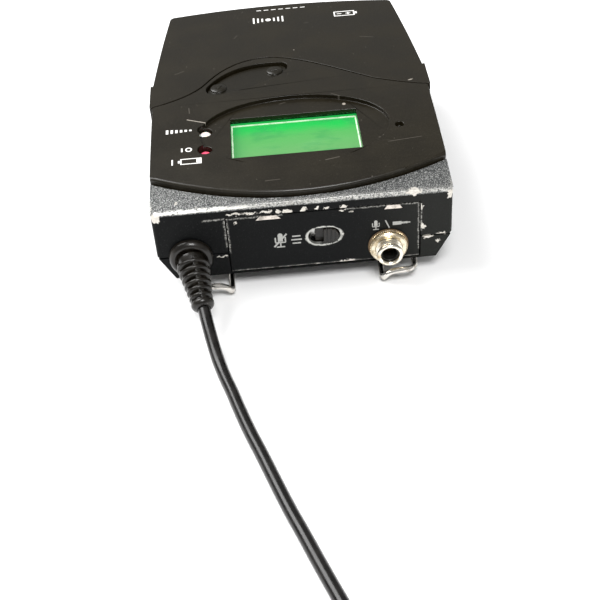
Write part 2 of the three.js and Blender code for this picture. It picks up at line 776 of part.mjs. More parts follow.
/** Dome switch: square base with a round plunger. */
function tactSwitch(x, y, z0, baseHeight, top, size) {
  return join(block(x, y, size, size, z0, z0 + baseHeight), post(size / 4, x, y, z0, top, 16));
}

const rockerSwitch = (reach) => {
  const [x, y] = rockerPoint(reach);
  const z0 = rockerBoardZ + 0.6 + gap;
  return tactSwitch(x, y, z0, 0.5, rockerFlangeZ - gap - 0.05, 3.4);
};

const deckUnder = wingTop - deckThickness - 0.2;
const flangeHigh = deckUnder - gap;
const flangeLow = flangeHigh - 0.6;

/** Round push button that passes through the deck under the door. */
function pushButton(x) {
  const y = along(buttonY);
  const tall = buttonTop - flangeLow;
  const profile = [[0, 0], [buttonRadius, 0], [buttonRadius, tall - 0.4],
    [buttonRadius - 0.4, tall], [0, tall]];
  return join(turned(profile, [x, y, up(flangeLow)], [0, 0, 1], 24),
    post(buttonRadius + 0.7, x, y, up(flangeLow), up(flangeHigh), 24));
}

const buttonSwitch = (x) => tactSwitch(x, along(buttonY), boardTop + gap, 0.5, up(flangeLow - 0.4), 4.4);

// ---------------------------------------------------------------- display, lamps and boards

const pane = (grow, z0, z1) =>
  block(windowX, along(windowY), windowWidth + 2 * grow, windowLength + 2 * grow, z0, z1);

/** Lamp: round body with a domed end and a foot on the board. */
function lamp(y) {
  const foot = boardTop + gap;
  const crest = topZ - crownFall * ((crownStart - y) / crownStart) ** 2 - lampRecess;
  const tall = crest - foot;
  const profile = [[0, 0], [lampRadius + 0.3, 0], [lampRadius + 0.3, 1], [lampRadius, 1],
    [lampRadius, tall - 0.9], [lampRadius * 0.9, tall - 0.45], [lampRadius * 0.6, tall - 0.12], [0, tall]];
  return turned(profile, [lampX, along(y), foot], [0, 0, 1], 24);
}

/** Board that carries the display, the lamps and the two hidden buttons' switches. */
function displayBoard() {
  const side = halfWidth - skirtInset - catchTravel - gap - sideWall - gap;
  let board = box(-side, side, nearY + nearWall + 3.4, along(bulkheadY) - 0.5,
    boardTop - boardThickness, boardTop);
  for (const [, x, y] of screwPlaces) {
    if (isFar(y)) continue;
    board = cut(board, box(Math.min(x - 3, 2 * x), Math.max(x + 3, 2 * x), y - 3, y + 3, backZ, topZ));
  }
  return board;
}

const mainBoardZ = up(floorThickness + 0.5);
const jackRoomFar = nearY + nearWall + 11.6;

/** Main board on the floor of the back shell, open around the jack. */
function mainBoard() {
  const edge = halfWidth - backTaper - 3.6;
  let board = box(-edge, edge, nearY + nearWall + 3.8, along(bulkheadY) - 2,
    mainBoardZ, mainBoardZ + boardThickness);
  board = cut(board, box(jackX - jackBlockWidth / 2 - 2 * gap, edge + 1, nearY, jackRoomFar, backZ, topZ));
  for (const [, x, y] of screwPlaces) {
    board = cut(board, post(screwHeadRadius + 1.3 + gap, x, y, backZ, topZ, 24));
  }
  for (const side of [-1, 1]) {
    board = cut(board, sideBox(side, clipNotchInner - clipBossWall - gap, halfWidth,
      nearY, along(clipNotchFar) + clipBossEnd + gap, backZ, topZ));
  }
  return board;
}

/** Pressed screening can over the radio section. */
function rfShield() {
  const z0 = mainBoardZ + boardThickness + gap;
  return cut(block(-6, along(24), 30, 22, z0, z0 + 4.2), block(-6, along(24), 29, 21, z0 - 1, z0 + 3.8));
}

// ---------------------------------------------------------------- control end

const knobX = slotX + slotWidth / 2 - knobWidth / 2 - 0.4;
const sliderY = nearY + plateSink + plateThickness + gap;

/** Slide knob of the mute switch with its guide plate behind the end plate. */
function muteKnob() {
  const tall = slotTall - 2 * gap;
  const front = nearY - 0.25;
  const stem = slotShape(slotX, up(slotHeight), slotWidth - 2 * gap, tall);
  let knob = endSlab(stem, front, sliderY + 0.2, 8)
    .intersect(box(knobX - knobWidth / 2, knobX + knobWidth, front - 1, sliderY + 1, backZ, topZ));
  for (const step of [-0.9, 0, 0.9]) {
    knob = cut(knob, block(knobX + step, front, 0.35, 0.7, backZ, topZ));
  }
  const guide = box(knobX - 3.4, knobX + 3.4, sliderY, sliderY + 0.6,
    up(slotHeight) - 2.9, up(slotHeight) + 2.9);
  return join(knob, guide);
}

/** Body of the mute switch, standing on the main board. */
function muteSwitchBody() {
  const y0 = sliderY + 0.6 + gap;
  return box(slotX - 6.2, slotX + 6.2, y0, y0 + 5.2,
    mainBoardZ + boardThickness + gap, up(slotHeight + 3.2));
}

const jackNutFront = nearY - jackNutThickness;

/** Ring nut of the jack. */
const jackNut = () => cut(
  bar(jackNutRadius, [jackX, nearY - gap + plateSink + 0.05, jackZ], [jackX, jackNutFront, jackZ], 40),
  bar(jackSleeveRadius + gap, [jackX, nearY + 1, jackZ], [jackX, jackNutFront - 1, jackZ], 36));

/** Threaded sleeve of the jack. */
const jackSleeve = () => {
  const back = nearY + nearWall + 0.6;
  return cut(bar(jackSleeveRadius, [jackX, back, jackZ], [jackX, nearY - jackReach, jackZ], 32),
    bar(jackBore, [jackX, back + 1, jackZ], [jackX, nearY - jackReach - 1, jackZ], 28));
};

/** Insulating body of the 3.5 mm jack. */
const jackBlock = () => {
  const y0 = nearY + nearWall + 0.6 + gap;
  const half = jackBlockWidth / 2;
  return cut(box(jackX - half, jackX + half, y0, jackRoomFar - gap, up(floorThickness + gap), jackZ + 4.2),
    bar(jackBore, [jackX, y0 - 1, jackZ], [jackX, y0 + 7, jackZ], 24));
};

// ---------------------------------------------------------------- antenna

const bootDirection = new THREE.Vector3(
  Math.sin(bootYaw) * Math.cos(bootDroop), -Math.cos(bootYaw) * Math.cos(bootDroop), -Math.sin(bootDroop));
const bootRoot = new THREE.Vector3(bootX, nearY - bootFlangeThickness * 0.45, bootZ);
const bootTip = bootRoot.clone().addScaledVector(bootDirection, bootLength);

/** Ribbed profile of the rubber boot. */
function bootProfile() {
  const profile = [[0, 0], [bootRootRadius, 0]];
  const start = 1.9;
  const pitch = (bootLength - start - 1.9) / bootRings;
  for (let ring = 0; ring < bootRings; ring += 1) {
    const share = ring / bootRings;
    const radius = bootRootRadius + (bootTipRadius - bootRootRadius) * share;
    const h = start + ring * pitch;
    profile.push([radius - 0.45, h], [radius - 0.45, h + 0.3 * pitch]);
    profile.push([radius, h + 0.45 * pitch], [radius, h + 0.9 * pitch]);
  }
  const last = bootLength - 1.9;
  const tipRim = bootTipRadius + 0.15;
  profile.push([bootTipRadius - 0.4, last], [tipRim, last + 0.5], [tipRim, last + 1.3],
    [bootTipRadius - 0.5, bootLength], [0, bootLength]);
  return profile;
}

/** Rubber boot: flange on the control end, ribbed strain relief, neck through the wall. */
function antennaBoot() {
  const faceY = nearY - 0.1;
  const flange = turned([[0, 0], [bootFlangeRadius, 0], [bootFlangeRadius, 0.8],
    [bootFlangeRadius - 0.35, 1.5], [bootFlangeRadius - 1.1, bootFlangeThickness], [0, bootFlangeThickness]],
  [bootX, faceY, bootZ], [0, -1, 0], 32);
  const neck = bar(bootNeckRadius, [bootX, faceY - 0.5, bootZ], [bootX, nearY + nearWall + 0.5, bootZ], 24);
  const relief = turned(bootProfile(), bootRoot.toArray(), bootDirection.toArray(), 20)
    .intersect(box(-halfWidth, halfWidth, nearY - 2 * bootLength, faceY - 0.3, 0, topZ));
  return join(flange, neck, relief);
}

/** Route of the whip, from the boot's tip down to the surface and along it. */
const whipRoute = [
  [-22.59, -51.82, 5.99],
  [-22.3, -53.4, 5.41],
  [-21.95, -55.3, 4.7],
  [-21.5, -57.5, 3.85],
  [-20.95, -60, 2.9],
  [-20.3, -62.8, 2.05],
  [-19.5, -65.8, 1.55],
  [-18.7, -68.6, 1.39],
  [-17.6, -72.2, 1.36],
  [-16.1, -77.6, 1.36],
  [-14.3, -83.6, 1.36],
  [-12.2, -89.8, 1.36],
  [-10, -96.6, 1.36],
  [-7.7, -103.5, 1.36],
  [-5.6, -109.2, 1.36],
  [-3.6, -114.8, 1.36],
  [-1.2, -121.3, 1.36],
  [0.2, -125, 1.36],
];

/** Rounded cap on the whip's end. */
function antennaTip() {
  const end = new THREE.Vector3(...whipRoute[whipRoute.length - 1]);
  const before = new THREE.Vector3(...whipRoute[whipRoute.length - 2]);
  const run = end.clone().sub(before).normalize();
  const from = end.clone().addScaledVector(run, gap);
  const profile = [[0, 0], [whipRadius, 0], [whipRadius, 2],
    [whipRadius * 0.86, 2.6], [whipRadius * 0.5, 3.05], [0, 3.2]];
  return turned(profile,
    from.toArray(), run.toArray(), 20);
}

/** Contact block that the antenna screws into. */
function antennaSocket() {
  const y0 = nearY + nearWall + 0.5 + gap;
  return block(bootX, y0 + 1.6, 6.4, 3.2, bootZ - 2.6, bootZ + 4.4);
}

// ---------------------------------------------------------------- batteries

/** One AA cell across the pack; `side` is where its positive end points. */
function cell(index, side) {
  const y = along(cellY + index * cellPitch);
  const start = -side * 24.1;
  return turned([[0, 0], [cellRadius - 0.5, 0], [cellRadius, 0.4], [cellRadius, cellLength - 0.5],
    [cellRadius - 0.5, cellLength], [2.75, cellLength], [2.75, cellLength + cellNub], [0, cellLength + cellNub]],
  [start, y, up(cellHeight)], [side, 0, 0], 28);
}

/** Plastic cradle with two troughs for the cells. */
function batteryCradle() {
  const y0 = along(bulkheadY) + bulkheadThickness + gap;
  const y1 = farY - skirtInset - cellWall - 0.9;
  const tray = slab(outline(backTaper + 2.6, nearY), up(floorThickness + gap), up(ridgeHeight - 0.1))
    .intersect(box(-halfWidth, halfWidth, y0, y1, 0, topZ));
  let body = tray;
  for (const index of [0, 1]) {
    const y = along(cellY + index * cellPitch);
    const from = [-halfWidth, y, up(cellHeight)];
    body = cut(body, bar(cellRadius + gap, from, [halfWidth, y, up(cellHeight)], 40));
  }
  return body;
}

const contactX = 26;

/** Flat contact that stands at one end of the cells. */
function contact(side, y0, y1) {
  const inner = side * contactX;
  const outer = side * (contactX + contactThickness);
  return box(Math.min(inner, outer), Math.max(inner, outer), along(y0), along(y1),
    up(ridgeHeight + 0.3), up(14.2));
}

/** Coil spring that presses on a cell's flat end. */
function contactSpring(index, side) {
  const y = along(cellY + index * cellPitch);
  const points = [];
  const turns = 2;
  const steps = 16;
  for (let i = 0; i <= steps; i += 1) {
    const share = i / steps;
    const angle = 2 * Math.PI * turns * share;
    const radius = 3.4 - 1.5 * share;
    const x = side * (contactX - gap - 0.25 - 0.75 * share);
    points.push([x, y + radius * Math.cos(angle), up(cellHeight) + radius * Math.sin(angle)]);
  }
  return wire(0.18, points, 36, 5);
}

// ---------------------------------------------------------------- belt clip and screws

/** Spring wire clip: two pins, two near curls, two legs and the far bow. */
function beltClip() {
  const pinY = along(clipPinY);
  const pinZ = up(clipPinHeight);
  const tipY = along(clipTipY);
  const rest = wireRadius + 0.03;
  const half = (side) => [
    [side * clipPinX, pinY, pinZ],
    [side * (clipPinX - 2), pinY, pinZ],
    [side * (clipRunX + 0.8), pinY - 0.15, pinZ - 0.25],
    [side * clipRunX, pinY - 1.2, pinZ - 1],
    [side * clipRunX, pinY - 3, pinZ - 2.1],
    [side * clipRunX, pinY - 5.5, pinZ - 2.45],
    [side * clipRunX, pinY - 8, pinZ - 2.45],
    [side * (clipRunX - 0.5), pinY - 9.9, pinZ - 2.15],
    [side * (clipRunX - 2.1), pinY - 10.6, pinZ - 1.9],
    [side * (clipLegX + 3.1), pinY - 10.6, pinZ - 1.9],
    [side * (clipLegX + 1.3), pinY - 10.6, pinZ - 2.2],
    [side * (clipLegX + 0.35), pinY - 10.6, pinZ - 3],
    [side * (clipLegX + 0.05), pinY - 10.5, pinZ - 3.9],
    [side * (clipLegX - 0.1), pinY - 9.6, rest + wireDip],
    [side * clipLegX, pinY - 7.4, rest],
    [side * clipLegX, pinY + 2, 1.1],
    [side * clipLegX, pinY + 20, 2.05],
    [side * clipLegX, pinY + 38, 2.9],
    [side * clipLegX, pinY + 48, 3.1],
    [side * clipLegX, pinY + 55, 2.3],
    [side * (clipLegX - 0.6), tipY - 3.6, 1.15],
    [side * (clipLegX - 3), tipY - 0.9, 0.85],
    [side * (clipLegX - 6), tipY, rest],
  ];
  return wire(wireRadius, [...half(-1), [0, tipY + 0.4, rest], ...half(1).reverse()], 120, 8);
}

/** Cross-head case screw, put in from the back. */
function caseScrew(x, y) {
  const shaftTop = up(farBossTop - 1.6);
  const profile = [[0, 0], [screwHeadRadius - 0.3, 0], [screwHeadRadius, 0.3],
    [screwHeadRadius, screwHeadThickness], [0, screwHeadThickness]];
  const head = turned(profile, [x, y, screwHeadZ], [0, 0, 1], 16);
  const body = join(head, post(screwRadius, x, y, screwHeadZ + 0.5, shaftTop, 12));
  return cut(body, block(x, y, 1.9, 0.45, screwHeadZ - 1, screwHeadZ + 0.6),
    block(x, y, 0.45, 1.9, screwHeadZ - 1, screwHeadZ + 0.6));
}

const hingePin = (side) => bar(hingePinRadius, [side * knuckleX - hingePinReach, hingeY, hingeZ],
  [side * knuckleX + hingePinReach, hingeY, hingeZ], 16);

// ---------------------------------------------------------------- assembly

const looks = {
  paint: { color: 0x3a3f44, roughness: 0.5, metalness: 0.5 },
  black: { color: 0x2f2c28, roughness: 0.55, metalness: 0 },
  rubber: { color: 0x141414, roughness: 0.5, metalness: 0 },
  steel: { color: 0xb9b6ae, roughness: 0.25, metalness: 1 },
  brass: { color: 0xcbb98c, roughness: 0.3, metalness: 1 },
  clear: { color: 0xdfe9df, roughness: 0.1, metalness: 0 },
  green: { color: 0x3fbf5a, roughness: 0.3, metalness: 0 },
  white: { color: 0xe6e6e0, roughness: 0.6, metalness: 0 },
  red: { color: 0xc8304a, roughness: 0.3, metalness: 0 },
  board: { color: 0x1f5a34, roughness: 0.6, metalness: 0 },
  cellWrap: { color: 0x6a6a6e, roughness: 0.4, metalness: 0.3 },
};

const group = new THREE.Group();

function add(name, body, look) {
  const mesh = new THREE.Mesh(skin(body), new THREE.MeshStandardMaterial(looks[look]));
  mesh.name = name;
  group.add(mesh);
}

add('upper_housing', upperHousing(), 'paint');
add('back_shell', backShell(), 'paint');
add('end_plate', endPlate(), 'paint');
for (const [name, x, y] of screwPlaces) add(name, caseScrew(x, y), 'steel');

add('front_fascia', frontFascia(), 'black');
add('display_lens', pane(lensOverlap, lensTop - lensThickness, lensTop), 'clear');
add('lcd_glass', pane(lensOverlap, glassTop - glassThickness, glassTop), 'green');
add('lcd_light_guide', pane(lensOverlap, guideTop - lightGuideThickness, guideTop), 'white');
add('display_board', displayBoard(), 'board');
add('lamp_peak', lamp(lampPeakY), 'clear');
add('lamp_on', lamp(lampOnY), 'red');

add('rocker_button', rocker(), 'black');
add('rocker_board', rockerBoardBlock(0, 0), 'board');
add('rocker_switch_down', rockerSwitch(-rockerNubReach), 'steel');
add('rocker_switch_up', rockerSwitch(rockerNubReach), 'steel');

add('battery_door', batteryDoor(), 'black');
add('catch_left', doorCatch(-1), 'black');
add('catch_right', doorCatch(1), 'black');
add('hinge_pin_left', hingePin(-1), 'steel');
add('hinge_pin_right', hingePin(1), 'steel');

add('power_button', pushButton(powerX), 'rubber');
add('set_button', pushButton(setX), 'rubber');
add('power_switch', buttonSwitch(powerX), 'steel');
add('set_switch', buttonSwitch(setX), 'steel');

add('battery_cradle', batteryCradle(), 'black');
add('battery_1', cell(0, 1), 'cellWrap');
add('battery_2', cell(1, -1), 'cellWrap');
add('contact_bridge', contact(-1, cellY - 4, cellY + cellPitch + 4), 'steel');
add('contact_plus', contact(1, cellY - 4, cellY + 4), 'steel');
add('contact_minus', contact(1, cellY + cellPitch - 4, cellY + cellPitch + 4), 'steel');
add('contact_spring_1', contactSpring(0, -1), 'steel');
add('contact_spring_2', contactSpring(1, 1), 'steel');

add('main_board', mainBoard(), 'board');
add('rf_shield', rfShield(), 'steel');
add('mute_knob', muteKnob(), 'rubber');
add('mute_switch_body', muteSwitchBody(), 'steel');
add('jack_nut', jackNut(), 'brass');
add('jack_sleeve', jackSleeve(), 'brass');
add('jack_block', jackBlock(), 'rubber');

add('antenna_boot', antennaBoot(), 'rubber');
add('antenna_socket', antennaSocket(), 'brass');
add('antenna_whip', wire(whipRadius, whipRoute, 32, 8), 'rubber');
add('antenna_tip', antennaTip(), 'rubber');
add('belt_clip', beltClip(), 'steel');

export default group;
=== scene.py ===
"""Wireless bodypack transmitter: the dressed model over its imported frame.

The pack rests on its wire belt clip, with the whip antenna laid along the
surface in front of it. Sizes are in millimetres and are turned into metres
where a mesh is made.
"""

from __future__ import annotations

import logging
import math
from dataclasses import dataclass
from enum import Enum
from typing import Callable, ClassVar, Iterable, Sequence

import bmesh
import bpy
from mathutils import Matrix, Vector

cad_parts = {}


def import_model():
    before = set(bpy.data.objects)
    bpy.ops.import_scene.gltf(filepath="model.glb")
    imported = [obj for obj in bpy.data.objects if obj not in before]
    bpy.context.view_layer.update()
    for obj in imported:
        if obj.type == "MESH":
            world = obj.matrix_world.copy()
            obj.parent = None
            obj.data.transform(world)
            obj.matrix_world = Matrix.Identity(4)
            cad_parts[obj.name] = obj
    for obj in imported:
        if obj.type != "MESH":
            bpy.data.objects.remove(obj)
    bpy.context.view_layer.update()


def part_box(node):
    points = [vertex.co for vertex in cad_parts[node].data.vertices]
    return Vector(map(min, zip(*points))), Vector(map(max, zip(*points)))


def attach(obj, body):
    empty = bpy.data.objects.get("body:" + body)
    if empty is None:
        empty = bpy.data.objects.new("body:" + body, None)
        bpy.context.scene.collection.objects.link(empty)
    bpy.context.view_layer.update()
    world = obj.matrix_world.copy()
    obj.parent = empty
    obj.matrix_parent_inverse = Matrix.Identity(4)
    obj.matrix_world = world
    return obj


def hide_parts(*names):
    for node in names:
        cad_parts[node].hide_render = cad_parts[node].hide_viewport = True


log = logging.getLogger("transmitter")

MM = 0.001
# The crown of the upper face, in metres: where it starts, its length and its fall over that length.
CROWN_Y = -0.003
CROWN_RUN = 0.036
CROWN_FALL = 0.00245
# The least height of the normal of a face of the crown, and the nodes that have such faces.
CROWN_LEAST = 0.985
CROWNED = ("upper_housing", "front_fascia", "battery_door")
# How near two points are merged, in millimetres, and the least angles of the edges that are
# rounded and that stay sharp in the shading, in degrees.
MERGED = 0.03
ROUNDED_ANGLE = 38
SMOOTH_ANGLE = 35
# How strongly large faces hold the shading flat, from 0 to 100.
FLAT_WEIGHT = 80
# The Y of the control end, and how deep plain and oval marks on it reach, in millimetres.
END_Y = -39.0
END_DEPTH = 1.6
END_OVAL_DEPTH = 12.0
# The Z of marks on the fascia and the door, and how deep they reach, in millimetres.
TOP_Z = 25.4
TOP_DEPTH = 4.0
# The Z above which print shows on the fascia and the door, and the width of that edge, in
# millimetres.
PRINT_Z = 24.8
PRINT_EDGE = 0.1
Point = tuple[float, float, float]
Colour = tuple[float, float, float]
# Clean and tarnished colours of the screws and the hinge pins.
STEEL: tuple[Colour, Colour] = ((0.55, 0.55, 0.54), (0.32, 0.32, 0.31))
# The shade of the plastic that fingers press.
PRESSED_SHADE: Colour = (0.0052, 0.0040, 0.0014)


def mm(*values: float) -> Vector:
    """A place or a size given in millimetres, as a vector in metres."""
    return Vector(values) * MM


class Slot(str, Enum):
    """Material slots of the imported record."""

    PAINT = "housing_paint"
    PLASTIC = "black_plastic"
    RUBBER = "black_rubber"
    CLEAR = "clear_plastic"
    DISPLAY = "display_green"
    WHITE = "white_plastic"
    LAMP_CLEAR = "lamp_clear"
    LAMP_RED = "lamp_red"
    BRASS = "nickel_brass"
    SPRING = "spring_steel"
    STEEL = "plain_steel"
    BOARD = "circuit_board"
    CELL = "cell_wrap"


class Body(str, Enum):
    """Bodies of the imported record."""

    PACK = "pack"
    DOOR = "door"
    LEFT_CATCH = "left_catch"
    RIGHT_CATCH = "right_catch"
    ROCKER = "rocker"
    MUTE = "mute_slider"
    POWER = "power_key"
    SET = "set_key"
    CLIP = "clip"


class Face(Enum):
    """The plane in which a mark is drawn."""

    TOP = "XY"
    END = "XZ"


# ------------------------------------------------------------------ material nodes


class Nodes:
    """A material's node tree, built with short calls."""

    def __init__(self, name: str) -> None:
        """Starts a material with one principled shader.

        Args:
            name: The material's name.
        """
        self.material = bpy.data.materials.new(name)
        self.material.use_nodes = True
        self.tree = self.material.node_tree
        self.tree.nodes.clear()
        self.shader = self.tree.nodes.new("ShaderNodeBsdfPrincipled")
        output = self.tree.nodes.new("ShaderNodeOutputMaterial")
        self.tree.links.new(self.shader.outputs["BSDF"], output.inputs["Surface"])
        self.place = self.tree.nodes.new("ShaderNodeTexCoord").outputs["Object"]

    def put(self, socket: bpy.types.NodeSocket, value: object) -> None:
        """Links a socket to another, or sets its own value.

        Args:
            socket: The input to fill.
            value: An output socket, a number, or a colour of three numbers.
        """
        if isinstance(value, bpy.types.NodeSocket):
            self.tree.links.new(value, socket)
        elif socket.type == "RGBA" and len(value) == 3:
            socket.default_value = (*value, 1.0)
        else:
            socket.default_value = value

    def node(self, kind: str, **inputs: object) -> bpy.types.Node:
        """Adds a node and fills its named inputs.

        Args:
            kind: The node's type, without its prefix.
            inputs: Values or sockets by input name, with _ for a space.

        Returns:
            The new node.
        """
        made = self.tree.nodes.new("ShaderNode" + kind)
        for name, value in inputs.items():
            self.put(made.inputs[name.replace("_", " ")], value)
        return made

    def math(self, operation: str, *values: object) -> bpy.types.NodeSocket:
        """Works one sum.

        Args:
            operation: The operation's name.
            values: One to three numbers or sockets.

        Returns:
            The result.
        """
        made = self.tree.nodes.new("ShaderNodeMath")
        made.operation = operation
        for socket, value in zip(made.inputs, values):
            self.put(socket, value)
        return made.outputs[0]

    def times(self, first: object, second: object) -> bpy.types.NodeSocket:
        """One number or mask times another."""
        return self.math("MULTIPLY", first, second)

    def vector(self, operation: str, *values: object, out: str = "Vector") -> bpy.types.NodeSocket:
        """Works one sum on vectors.

        Args:
            operation: The operation's name.
            values: Vectors or sockets.
            out: The output that is wanted.

        Returns:
            The result.
        """
        made = self.tree.nodes.new("ShaderNodeVectorMath")
        made.operation = operation
        for socket, value in zip(made.inputs, values):
            self.put(socket, value)
        return made.outputs[out]

    def step(self, value: object, low: float, high: float) -> bpy.types.NodeSocket:
        """A smooth step from 0 to 1.

        Args:
            value: The number to test.
            low: Where the step leaves 0. It may be the larger one.
            high: Where the step reaches 1.

        Returns:
            The mask.
        """
        made = self.node("MapRange", Value=value, From_Min=low, From_Max=high)
        made.interpolation_type = "SMOOTHSTEP"
        return made.outputs[0]

    def noise(self, grain: float, detail: float = 2.0, roughness: float = 0.5,
              stretch: Point = (1, 1, 1)) -> bpy.types.NodeSocket:
        """Noise from 0 to 1.

        Args:
            grain: The size of one blot, in millimetres.
            detail: The octaves added to it.
            roughness: The share of each finer octave.
            stretch: How many times longer the blots are along each axis.

        Returns:
            The noise.
        """
        place = self.place
        if stretch != (1, 1, 1):
            scale = tuple(1 / s for s in stretch)
            place = self.node("Mapping", Vector=place, Scale=scale).outputs[0]
        return self.node("TexNoise", Vector=place, Scale=1 / (grain * MM), Detail=detail,
                         Roughness=roughness).outputs["Fac"]

    def specks(self, spacing: float, radius: float, share: float) -> bpy.types.NodeSocket:
        """Sparse round specks.

        Args:
            spacing: The size of the cells that may hold a speck, in millimetres.
            radius: The specks' radius, in millimetres.
            share: The part of the cells that hold one.

        Returns:
            The mask of the specks.
        """
        cells = self.node("TexVoronoi", Vector=self.place, Scale=1 / (spacing * MM))
        reach = radius / spacing
        spot = self.step(cells.outputs["Distance"], reach, reach * 0.5)
        pick = self.node("SeparateColor", Color=cells.outputs["Color"]).outputs[0]
        return self.math("MULTIPLY", spot, self.step(pick, 1 - share, 1 - share + 0.01))

    def mix(self, share: object, first: object, second: object) -> bpy.types.NodeSocket:
        """A colour between two.

        Args:
            share: How much of the second there is, from 0 to 1.
            first: The first colour.
            second: The second colour.

        Returns:
            The mixed colour.
        """
        made = self.tree.nodes.new("ShaderNodeMix")
        made.data_type = "RGBA"
        made.clamp_factor = True
        for index, value in ((0, share), (6, first), (7, second)):
            self.put(made.inputs[index], value)
        return made.outputs[2]

    def blend(self, share: object, first: object, second: object) -> bpy.types.NodeSocket:
        """A number between two.

        Args:
            share: How much of the second there is, from 0 to 1.
            first: The first number.
            second: The second number.

        Returns:
            The mixed number.
        """
        made = self.tree.nodes.new("ShaderNodeMix")
        made.clamp_factor = True
        for index, value in ((0, share), (2, first), (3, second)):
            self.put(made.inputs[index], value)
        return made.outputs[0]

    def most(self, *masks: object) -> bpy.types.NodeSocket:
        """The strongest of several masks.

        Args:
            masks: The masks.

        Returns:
            Their largest value.
        """
        whole = masks[0]
        for mask in masks[1:]:
            whole = self.math("MAXIMUM", whole, mask)
        return whole

    def bump(self, height: object, depth: float, below: object = None) -> bpy.types.NodeSocket:
        """A bumped normal.

        Args:
            height: The height, from 0 to 1.
            depth: How deep that is, in millimetres.
            below: Another bumped normal under this one.

        Returns:
            The normal.
        """
        made = self.node("Bump", Height=height, Distance=depth * MM, Strength=1.0)
        if below is not None:
            self.put(made.inputs["Normal"], below)
        return made.outputs[0]

    def split(self) -> tuple[bpy.types.NodeSocket, ...]:
        """X, Y and Z of the place on the piece."""
        return tuple(self.node("SeparateXYZ", Vector=self.place).outputs)

    def dress(self, **inputs: object) -> bpy.types.Material:
        """Fills the shader's inputs.

        Args:
            inputs: Values or sockets by input name, with _ for a space.

        Returns:
            The material.
        """
        for name, value in inputs.items():
            self.put(self.shader.inputs[name.replace("_", " ")], value)
        return self.material


@dataclass(frozen=True)
class Mark:
    """A straight-sided mark on a surface: a chip, a scratch or a printed bar.

    Attributes:
        centre: Its middle, in millimetres.
        size: Its width, length and height, in millimetres.
        turn: Its turn about the face's normal, in degrees.
        face: The plane in which it lies.
    """

    centre: Point
    size: Point
    turn: float = 0.0
    face: Face = Face.TOP

    def mask(self, nodes: Nodes, place: bpy.types.NodeSocket, soft: float) -> bpy.types.NodeSocket:
        """1 inside the mark and 0 outside it.

        Args:
            nodes: The material's nodes.
            place: The place to test, which may be a ragged one.
            soft: The width of its edge, in millimetres.

        Returns:
            The mask.
        """
        angle = math.radians(self.turn)
        turn = (0, 0, angle) if self.face is Face.TOP else (0, -angle, 0)
        local = nodes.node("Mapping", Vector=place, Location=tuple(mm(*self.centre)), Rotation=turn)
        local.vector_type = "TEXTURE"
        return nodes.step(self.away(nodes, local.outputs[0]), soft * MM, -soft * MM)

    def away(self, nodes: Nodes, local: bpy.types.NodeSocket) -> bpy.types.NodeSocket:
        """How far a place is outside the mark.

        Args:
            nodes: The material's nodes.
            local: The place, as seen from the mark's middle.

        Returns:
            The distance in metres, less than 0 inside the mark.
        """
        past = nodes.vector("SUBTRACT", nodes.vector("ABSOLUTE", local), tuple(mm(*self.size) / 2))
        parts = nodes.node("SeparateXYZ", Vector=past).outputs
        return nodes.math("MAXIMUM", nodes.math("MAXIMUM", parts[0], parts[1]), parts[2])


@dataclass(frozen=True)
class Oval(Mark):
    """A round or oval mark.

    Attributes:
        line: The width of its line, in millimetres, or 0 where it is filled.
    """

    line: float = 0.0

    def away(self, nodes: Nodes, local: bpy.types.NodeSocket) -> bpy.types.NodeSocket:
        """How far a place is outside the mark.

        Args:
            nodes: The material's nodes.
            local: The place, as seen from the mark's middle.

        Returns:
            The distance in metres, less than 0 inside the mark.
        """
        half = mm(*self.size) / 2
        reach = nodes.vector("LENGTH", nodes.vector("DIVIDE", local, tuple(half)), out="Value")
        past = nodes.math("MULTIPLY", nodes.math("SUBTRACT", reach, 1.0), min(half))
        if not self.line:
            return past
        return nodes.math("SUBTRACT", nodes.math("ABSOLUTE", past), self.line * MM / 2)


def drawn(nodes: Nodes, marks: Iterable[Mark], ragged: float = 0.0, grain: float = 0.5,
          soft: float = 0.04) -> bpy.types.NodeSocket:
    """One mask of many marks.

    Args:
        nodes: The material's nodes.
        marks: The marks to draw.
        ragged: How far their outlines wander, in millimetres.
        grain: The size of the steps of that wandering, in millimetres.
        soft: The width of their edges, in millimetres.

    Returns:
        The mask.
    """
    place = nodes.place
    if ragged:
        wander = nodes.node("TexNoise", Vector=place, Scale=1 / (grain * MM), Detail=4.0, Roughness=0.6)
        shift = nodes.vector("MULTIPLY_ADD", wander.outputs["Color"], (4 * ragged * MM,) * 3,
                             (-2 * ragged * MM,) * 3)
        place = nodes.vector("ADD", place, shift)
    return nodes.most(*[mark.mask(nodes, place, soft) for mark in marks])


# ------------------------------------------------------------------ finishes


